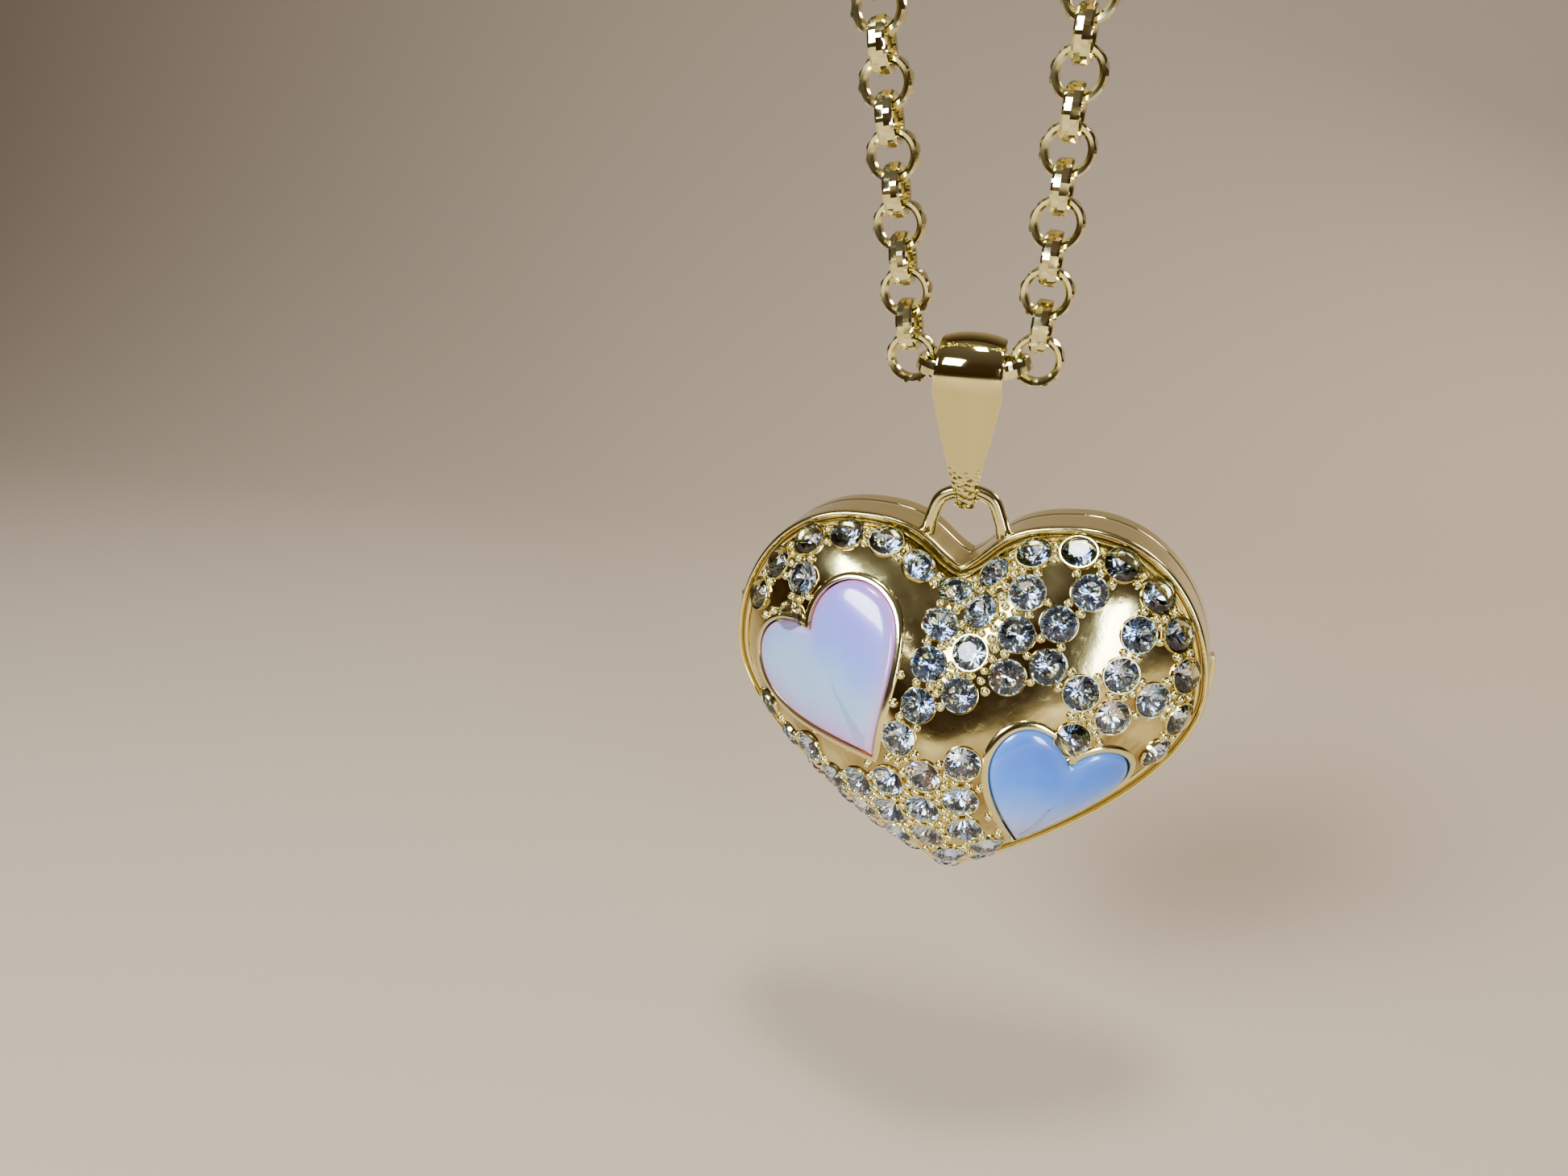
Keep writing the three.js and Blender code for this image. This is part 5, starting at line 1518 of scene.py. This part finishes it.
@dataclass
class BackHalf:
    """The flat back cover with its thumb tab and catch."""

    seam: float = 3.225
    depth: float = 5.1
    wall: float = 0.8
    floor: float = 4.2
    soft: float = 0.45

    def build(self) -> None:
        """Makes the cover, then the tab and the tongue."""
        rows = [(self.wall + 0.05, self.seam), (0.1, self.seam), (0.03, self.seam + 0.04), (0.0, self.seam + 0.12)]
        rows += [(0.0, self.seam + 0.12 + 0.25 * k) for k in range(1, 5)]
        for degrees in (0, 18, 36, 54, 72, 90):
            a = math.radians(degrees)
            rows.append((self.soft * (1 - math.cos(a)), self.depth - self.soft * (1 - math.sin(a))))
        rows += [(0.9, self.depth), (1.8, self.depth), (1.9, self.depth - 0.05), (2.05, self.depth - 0.05)]
        rows += [(2.15, self.depth), (3.5, self.depth)]
        draft = Draft()
        outside = [HEART.ring(inset, y) for inset, y in rows]
        first = draft.add(outside[0])
        last = draft.grow(first, outside[1:])
        centre = np.array([0, self.depth, -METAL_DOME.centre_drop])
        shrink = [centre + (outside[-1] - centre) * share for share in (0.75, 0.5, 0.25)]
        draft.face(draft.grow(last, shrink))
        inside = [HEART.ring(self.wall, self.seam + 0.04), HEART.ring(self.wall, self.floor)]
        inside.append(HEART.ring(self.wall + 1, self.floor))
        draft.face(draft.grow(first, inside))
        HingeBarrel().add_knuckles(draft, (1,))
        draft.build("back_cover_plate", MIRROR_GOLD, Body.COVER, Slot.GOLD, ["back_cover"], crease=40)
        softened_copy("thumb_tab", MIRROR_GOLD, Body.COVER, 0.16)
        softened_copy("catch_tongue", INNER_GOLD, Body.COVER, 0.05)


def softened_copy(node: str, finish: Finish, body: Body, width: float) -> bpy.types.Object:
    """Stands in for a CAD node with a copy whose edges are rounded.

    Args:
        node: the CAD node.
        finish: the copy's finish.
        body: the body that it rides on.
        width: the rounding's width.

    Returns:
        The new piece.
    """
    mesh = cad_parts[node].data.copy()
    mesh.name = f"{node}_soft"
    mesh.materials.clear()
    mesh.materials.append(finish.material())
    work = bmesh.new()
    work.from_mesh(mesh)
    bmesh.ops.remove_doubles(work, verts=work.verts, dist=1e-6)
    bmesh.ops.dissolve_limit(work, angle_limit=math.radians(1), verts=work.verts, edges=work.edges)
    sharp = [e for e in work.edges if len(e.link_faces) == 2 and e.calc_face_angle(0) > math.radians(30)]
    bmesh.ops.bevel(
        work, geom=sharp, offset=width * MM, segments=3, profile=0.6, affect="EDGES", clamp_overlap=True,
    )
    work.to_mesh(mesh)
    work.free()
    mesh.polygons.foreach_set("use_smooth", [True] * len(mesh.polygons))
    mesh.set_sharp_from_angle(angle=math.radians(35))
    piece = bpy.data.objects.new(f"{node}_soft", mesh)
    bpy.context.scene.collection.objects.link(piece)
    return fasten(piece, body, [node])


def photo_stack(half: str, body: Body) -> None:
    """Makes one half's photo frame, window and card."""
    softened_copy(f"{half}_photo_frame", MIRROR_GOLD, body, 0.07)
    softened_copy(f"{half}_window", WINDOW, body, 0.03)
    softened_copy(f"{half}_photo_card", PHOTO_CARD, body, 0.015)


# ------------------------------------------------------------------------------ loop and bail
@dataclass
class TopLoop:
    """The U-shaped loop over the cleft, a grooved wire with splayed and soldered feet."""

    half_width: float = 2.2
    rise: float = 1.6
    wire: float = 0.9
    depth: float = 1.1
    back: float = 1.2
    groove: float = 0.2

    def build(self) -> None:
        """Sweeps the wire and adds its solder."""
        half = [
            (0.0, self.rise), (0.72 * self.half_width, 0.7 * self.rise), (self.half_width, -0.1),
            (self.half_width + 0.3, -1.2), (self.half_width + 0.75, -2.4),
        ]
        path = smooth_path([(-x, z) for x, z in half[:0:-1]] + half, 12)
        way = unit(np.gradient(path, axis=0))
        rings = []
        for (x, z), (dx, dz) in zip(path, way):
            spread = 1 + 0.25 * max(-z - 0.6, 0)
            ring = []
            for a in np.arange(28) * TAU / 28:
                front = abs((a - 1.5 * math.pi + math.pi) % TAU - math.pi)
                pinch = 1 - self.groove * math.exp(-((front / 0.34) ** 2))
                h = self.wire / 2 * math.cos(a) * pinch * spread
                ring.append((x - dz * h, self.back + self.depth / 2 * math.sin(a) * pinch, z + dx * h))
            rings.append(np.array(ring))
        draft = Draft()
        draft.loft(rings)
        for side in (-1, 1):
            foot = np.array([side * (self.half_width + 0.42), self.back - 0.1, -1.62])
            draft.ball(foot, np.array([0.25 * side, -0.5, 1.0]), 0.62, 0.62)
        draft.build("top_loop_wire", CAST_GOLD, Body.LOCKET, Slot.GOLD, ["top_loop"], crease=60)


@dataclass
class Bail:
    """The folded strip: short back leg, eye over the chain, tapering blade and tip hook."""

    lean: float = math.radians(17)
    sway: float = math.radians(4)
    length: float = 8.3
    eye_radius: float = 1.9
    thick: float = 0.5
    width: float = 4.2
    tip_width: float = 1.25
    leg_drop: float = 4.0
    hook_radius: float = 0.78
    crown: float = 0.34
    loop_back: float = 1.2
    loop_rise: float = 1.6

    def place(self) -> Matrix:
        """The bail's own frame: the loop wire's middle, leaned back and swayed."""
        turn = Matrix.Rotation(self.lean, 4, "X") @ Matrix.Rotation(self.sway, 4, "Y")
        return LOCKET_FRAME @ Matrix.Translation(Vector((0, self.loop_back, self.loop_rise)) * MM) @ turn

    def _stations(self) -> list[tuple[float, float, float, float]]:
        """Middle line of the strip as y, z, width and thickness."""
        eye = self.eye_radius + self.thick / 2
        hook = self.hook_radius + self.thick / 2
        leg_end = self.length - self.leg_drop
        rows = [
            (0.74 * eye, leg_end, 0.42 * self.width, self.thick),
            (0.84 * eye, leg_end + 0.4 * self.leg_drop, 0.6 * self.width, self.thick),
        ]
        for degrees in range(-18, 199, 18):
            a = math.radians(degrees)
            widen = np.interp(degrees, (-18, 90, 198), (0.72, 0.92, 1.0))
            rows.append((eye * math.cos(a), self.length + eye * math.sin(a), widen * self.width, self.thick))
        y, z = rows[-1][:2]
        for k in range(1, 6):
            share = k / 6
            rows.append((
                y + (-hook - y) * share**0.9, z + (0.2 - z) * share,
                self.width + (self.tip_width - self.width) * share**1.1, self.thick,
            ))
        for degrees in range(180, 371, 24):
            a = math.radians(degrees)
            rows.append((hook * math.cos(a), hook * math.sin(a), self.tip_width, 0.8 * self.thick))
        return rows

    def build(self) -> None:
        """Sweeps the crowned strip along its stations."""
        rows = smooth_path(self._stations(), 6)
        way = unit(np.gradient(rows[:, :2], axis=0))
        shape = [math.cos(a) for a in np.linspace(math.pi, 0, 17)]
        rings, borders = [], []
        for (y, z, width, thick), (dy, dz) in zip(rows, way):
            half, t = width / 2, thick / 2
            crown = self.crown * width / self.width
            section = [(s * half, t - crown * abs(s) ** 2.3) for s in shape]
            section += [(half, -t + 0.05), (0.93 * half, -t), (0.0, -t), (-0.93 * half, -t), (-half, -t + 0.05)]
            rings.append(np.array([(x, y + dz * h, z - dy * h) for x, h in section]))
            borders += [max(0.0, abs(s) - 0.93) / 0.07 * 0.5 for s in shape] + [0.3, 0.0, 0.0, 0.0, 0.3]
        draft = Draft()
        draft.loft(rings)
        draft.build(
            "bail_strip", BLADE_GOLD, Body.BAIL, Slot.GOLD, ["bail"], place=self.place(), crease=50,
            marks={"border": ("POINT", np.array(borders))},
        )


# ------------------------------------------------------------------------------ chain and clasp
def ring_place(node: str) -> Matrix:
    """The frame of a ring-shaped CAD node, its Z through the ring's hole.

    Args:
        node: the CAD node.

    Returns:
        Its frame in the row frame, in metres.
    """
    low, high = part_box(node)
    count = len(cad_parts[node].data.vertices)
    points = np.zeros(3 * count)
    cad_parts[node].data.vertices.foreach_get("co", points)
    points = points.reshape(-1, 3)
    middle = (low + high) / 2
    away = np.unique(np.round(points - np.array(middle), 6), axis=0)
    _, axes = np.linalg.eigh(away.T @ away)
    axis = axes[:, 0]
    if axis[np.argmax(np.abs(axis))] < 0:
        axis = -axis
    place = facing(axis)
    place.translation = middle
    return place


@dataclass
class BelcherChain:
    """Broad diamond-cut rings, each through the next, and the two plain end rings."""

    radius: float = 1.6
    bore: float = 1.04
    width: float = 1.0
    cuts: int = 22
    cut_depth: float = 0.09
    ring_radius: float = 2.1
    ring_wire: float = 0.7

    def _link_rings(self, seed: int) -> list[Array]:
        """Sections of one link, its outside cut in slanting flats.

        Args:
            seed: sets how the cuts of this link fall.

        Returns:
            One closed section for each step round.
        """
        rng = random.Random(seed)
        half = self.width / 2
        rings = []
        for k in range(2 * self.cuts):
            a = TAU * k / (2 * self.cuts)
            slant = self.cut_depth * (1 if k % 4 < 2 else -0.1) * rng.uniform(0.6, 1.0)
            other = self.cut_depth * (1 if (k + 2) % 4 < 2 else -0.1) * rng.uniform(0.6, 1.0)
            section = [
                (self.bore + 0.05, -0.62 * half), (self.bore + 0.2, -0.92 * half), (self.radius - 0.16, -half),
                (self.radius - slant - 0.03, -0.72 * half), (self.radius - 0.02, 0.0),
                (self.radius - other - 0.03, 0.72 * half), (self.radius - 0.16, half),
                (self.bore + 0.2, 0.92 * half), (self.bore + 0.05, 0.62 * half), (self.bore, 0.0),
            ]
            rings.append(np.array([(r * math.cos(a), r * math.sin(a), h) for r, h in section]))
        return rings

    def build(self) -> None:
        """Makes every link, then the two rings."""
        links = sorted(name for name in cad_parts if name.startswith("link_"))
        for number, node in enumerate(links):
            draft = Draft()
            draft.hoop(self._link_rings(number))
            draft.build(f"{node}_cut", CHAIN_GOLD, Body.CHAIN, Slot.GOLD, [node], place=ring_place(node), crease=12)
        for node in ("end_ring", "jump_ring"):
            draft = Draft()
            wire = self.ring_wire / 2
            profile = [
                (self.ring_radius - wire + wire * math.cos(a), wire * math.sin(a)) for a in np.arange(16) * TAU / 16
            ]
            draft.wheel(profile, Matrix.Identity(4), 64)
            draft.build(f"{node}_round", MIRROR_GOLD, Body.CHAIN, Slot.GOLD, [node], place=ring_place(node))


@dataclass
class Clasp:
    """The trigger clasp that closes the chain."""

    softness: float = 0.14

    def build(self) -> None:
        """Rounds the body and trigger, and dresses the pin and spring."""
        softened_copy("clasp_body", MIRROR_GOLD, Body.CHAIN, self.softness)
        softened_copy("clasp_trigger", MIRROR_GOLD, Body.TRIGGER, self.softness)
        for node in ("clasp_pin", "clasp_spring"):
            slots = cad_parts[node].data.materials
            slots.clear()
            slots.append(STEEL.material())
            LOG.info("%s keeps its shape", node)


# ------------------------------------------------------------------------------ the studio
@dataclass
class Studio:
    """A pale sweep of paper, soft lights and the camera."""

    camera_offset: tuple[float, float, float] = (13.85, -72.42, 19.82)
    look: tuple[float, float, float] = (-0.3215, 0.8925, -0.3164)
    roll: float = math.radians(-0.93)
    lens: float = 27.03
    sensor: float = 36.0
    floor_drop: float = 22.0
    sweep: float = 1600.0

    def build(self) -> None:
        """Makes the paper, the lights and the camera."""
        self._paper()
        self._lights()
        self._camera()

    def _paper(self) -> None:
        """A floor that curves up into a wall behind."""
        floor = (CAD_BOX[0].z / MM) - self.floor_drop
        bend = 260.0
        back = 420.0
        line = [(-self.sweep, floor), (back - bend, floor)]
        line += [
            (back - bend + bend * math.sin(a), floor + bend * (1 - math.cos(a)))
            for a in np.radians(np.arange(6, 91, 6))
        ]
        line.append((back, floor + self.sweep))
        points = [(x, y, z) for y, z in line for x in (-self.sweep, self.sweep)]
        faces = [(2 * k, 2 * k + 1, 2 * k + 3, 2 * k + 2) for k in range(len(line) - 1)]
        mesh = bpy.data.meshes.new("studio_sweep")
        mesh.from_pydata([tuple(MM * v for v in p) for p in points], [], faces)
        mesh.materials.append(PAPER.material())
        mesh.polygons.foreach_set("use_smooth", [True] * len(mesh.polygons))
        sweep = bpy.data.objects.new("studio_sweep", mesh)
        bpy.context.scene.collection.objects.link(sweep)

    def _lamp(self, name: str, at: Vector, size: tuple[float, float], power: float, color: Color) -> None:
        """Adds a soft box that faces the heart.

        Args:
            name: the lamp's name.
            at: its place from the heart's middle, in millimetres.
            size: its width and height.
            power: in watts.
            color: its light.
        """
        data = bpy.data.lights.new(name, "AREA")
        data.shape = "RECTANGLE"
        data.size, data.size_y = size[0] * MM, size[1] * MM
        data.energy = power
        data.color = color
        lamp = bpy.data.objects.new(name, data)
        lamp.location = self._middle() + at * MM
        lamp.rotation_euler = (-at).to_track_quat("-Z", "Y").to_euler()
        bpy.context.scene.collection.objects.link(lamp)

    def _middle(self) -> Vector:
        """The heart's middle in the row frame."""
        return LOCKET_FRAME @ Vector((0, 0, -METAL_DOME.centre_drop * MM))

    def _lights(self) -> None:
        """Cool soft boxes in front, and a warm dim room all round."""
        self._lamp("key", Vector((-130, -260, 210)), (150, 110), 2.2, (0.80, 0.90, 1.0))
        self._lamp("fill", Vector((190, -230, 60)), (60, 150), 0.8, (0.84, 0.92, 1.0))
        self._lamp("low", Vector((-60, -210, -150)), (110, 30), 0.35, (1.0, 0.72, 0.45))
        self._lamp("crown", Vector((20, -60, 330)), (60, 60), 0.8, (0.9, 0.95, 1.0))
        self._lamp("back", Vector((160, 230, 160)), (90, 60), 0.4, (1.0, 0.85, 0.7))
        world = bpy.data.worlds.new("room")
        world.use_nodes = True
        w = Wiring(world.node_tree)
        height = w.add("SeparateXYZ", {0: w.add("TexCoord").outputs["Generated"]}).outputs["Z"]
        share = w.add("MapRange", {0: height, 1: -1.0, 2: 1.0}).outputs[0]
        tone = w.ramp(share, (
            (0.0, (0.07, 0.040, 0.020)), (0.5, (0.04, 0.022, 0.010)), (0.75, (0.06, 0.036, 0.022)),
            (1.0, (0.16, 0.14, 0.13)),
        ))
        back = world.node_tree.nodes["Background"]
        world.node_tree.links.new(tone, back.inputs["Color"])
        bpy.context.scene.world = world

    def _camera(self) -> None:
        """Stands the camera in front, a little right and above."""
        data = bpy.data.cameras.new("camera")
        data.lens = self.lens
        data.sensor_width = self.sensor
        data.clip_start, data.clip_end = 0.005, 20.0
        camera = bpy.data.objects.new("camera", data)
        turn = Vector(self.look).to_track_quat("-Z", "Y").to_matrix().to_4x4()
        camera.matrix_world = (
            LOCKET_FRAME @ Matrix.Translation(Vector(self.camera_offset) * MM) @ turn
            @ Matrix.Rotation(self.roll, 4, "Z")
        )
        bpy.context.scene.collection.objects.link(camera)
        bpy.context.scene.camera = camera


def main() -> None:
    """Builds every sub-assembly in order."""
    logging.basicConfig(level=logging.INFO, format="%(name)s: %(message)s")
    seats = StoneLayout().seats()
    LOG.info("%d stones", len(seats))
    FrontHalf(seats).build()
    Crystals(seats).build()
    Beads(seats).build()
    PearlHearts().build()
    TopLoop().build()
    BackHalf().build()
    HingeBarrel().build_pin()
    photo_stack("front", Body.LOCKET)
    photo_stack("back", Body.COVER)
    Bail().build()
    BelcherChain().build()
    Clasp().build()
    Studio().build()


if __name__ == "__main__":
    main()
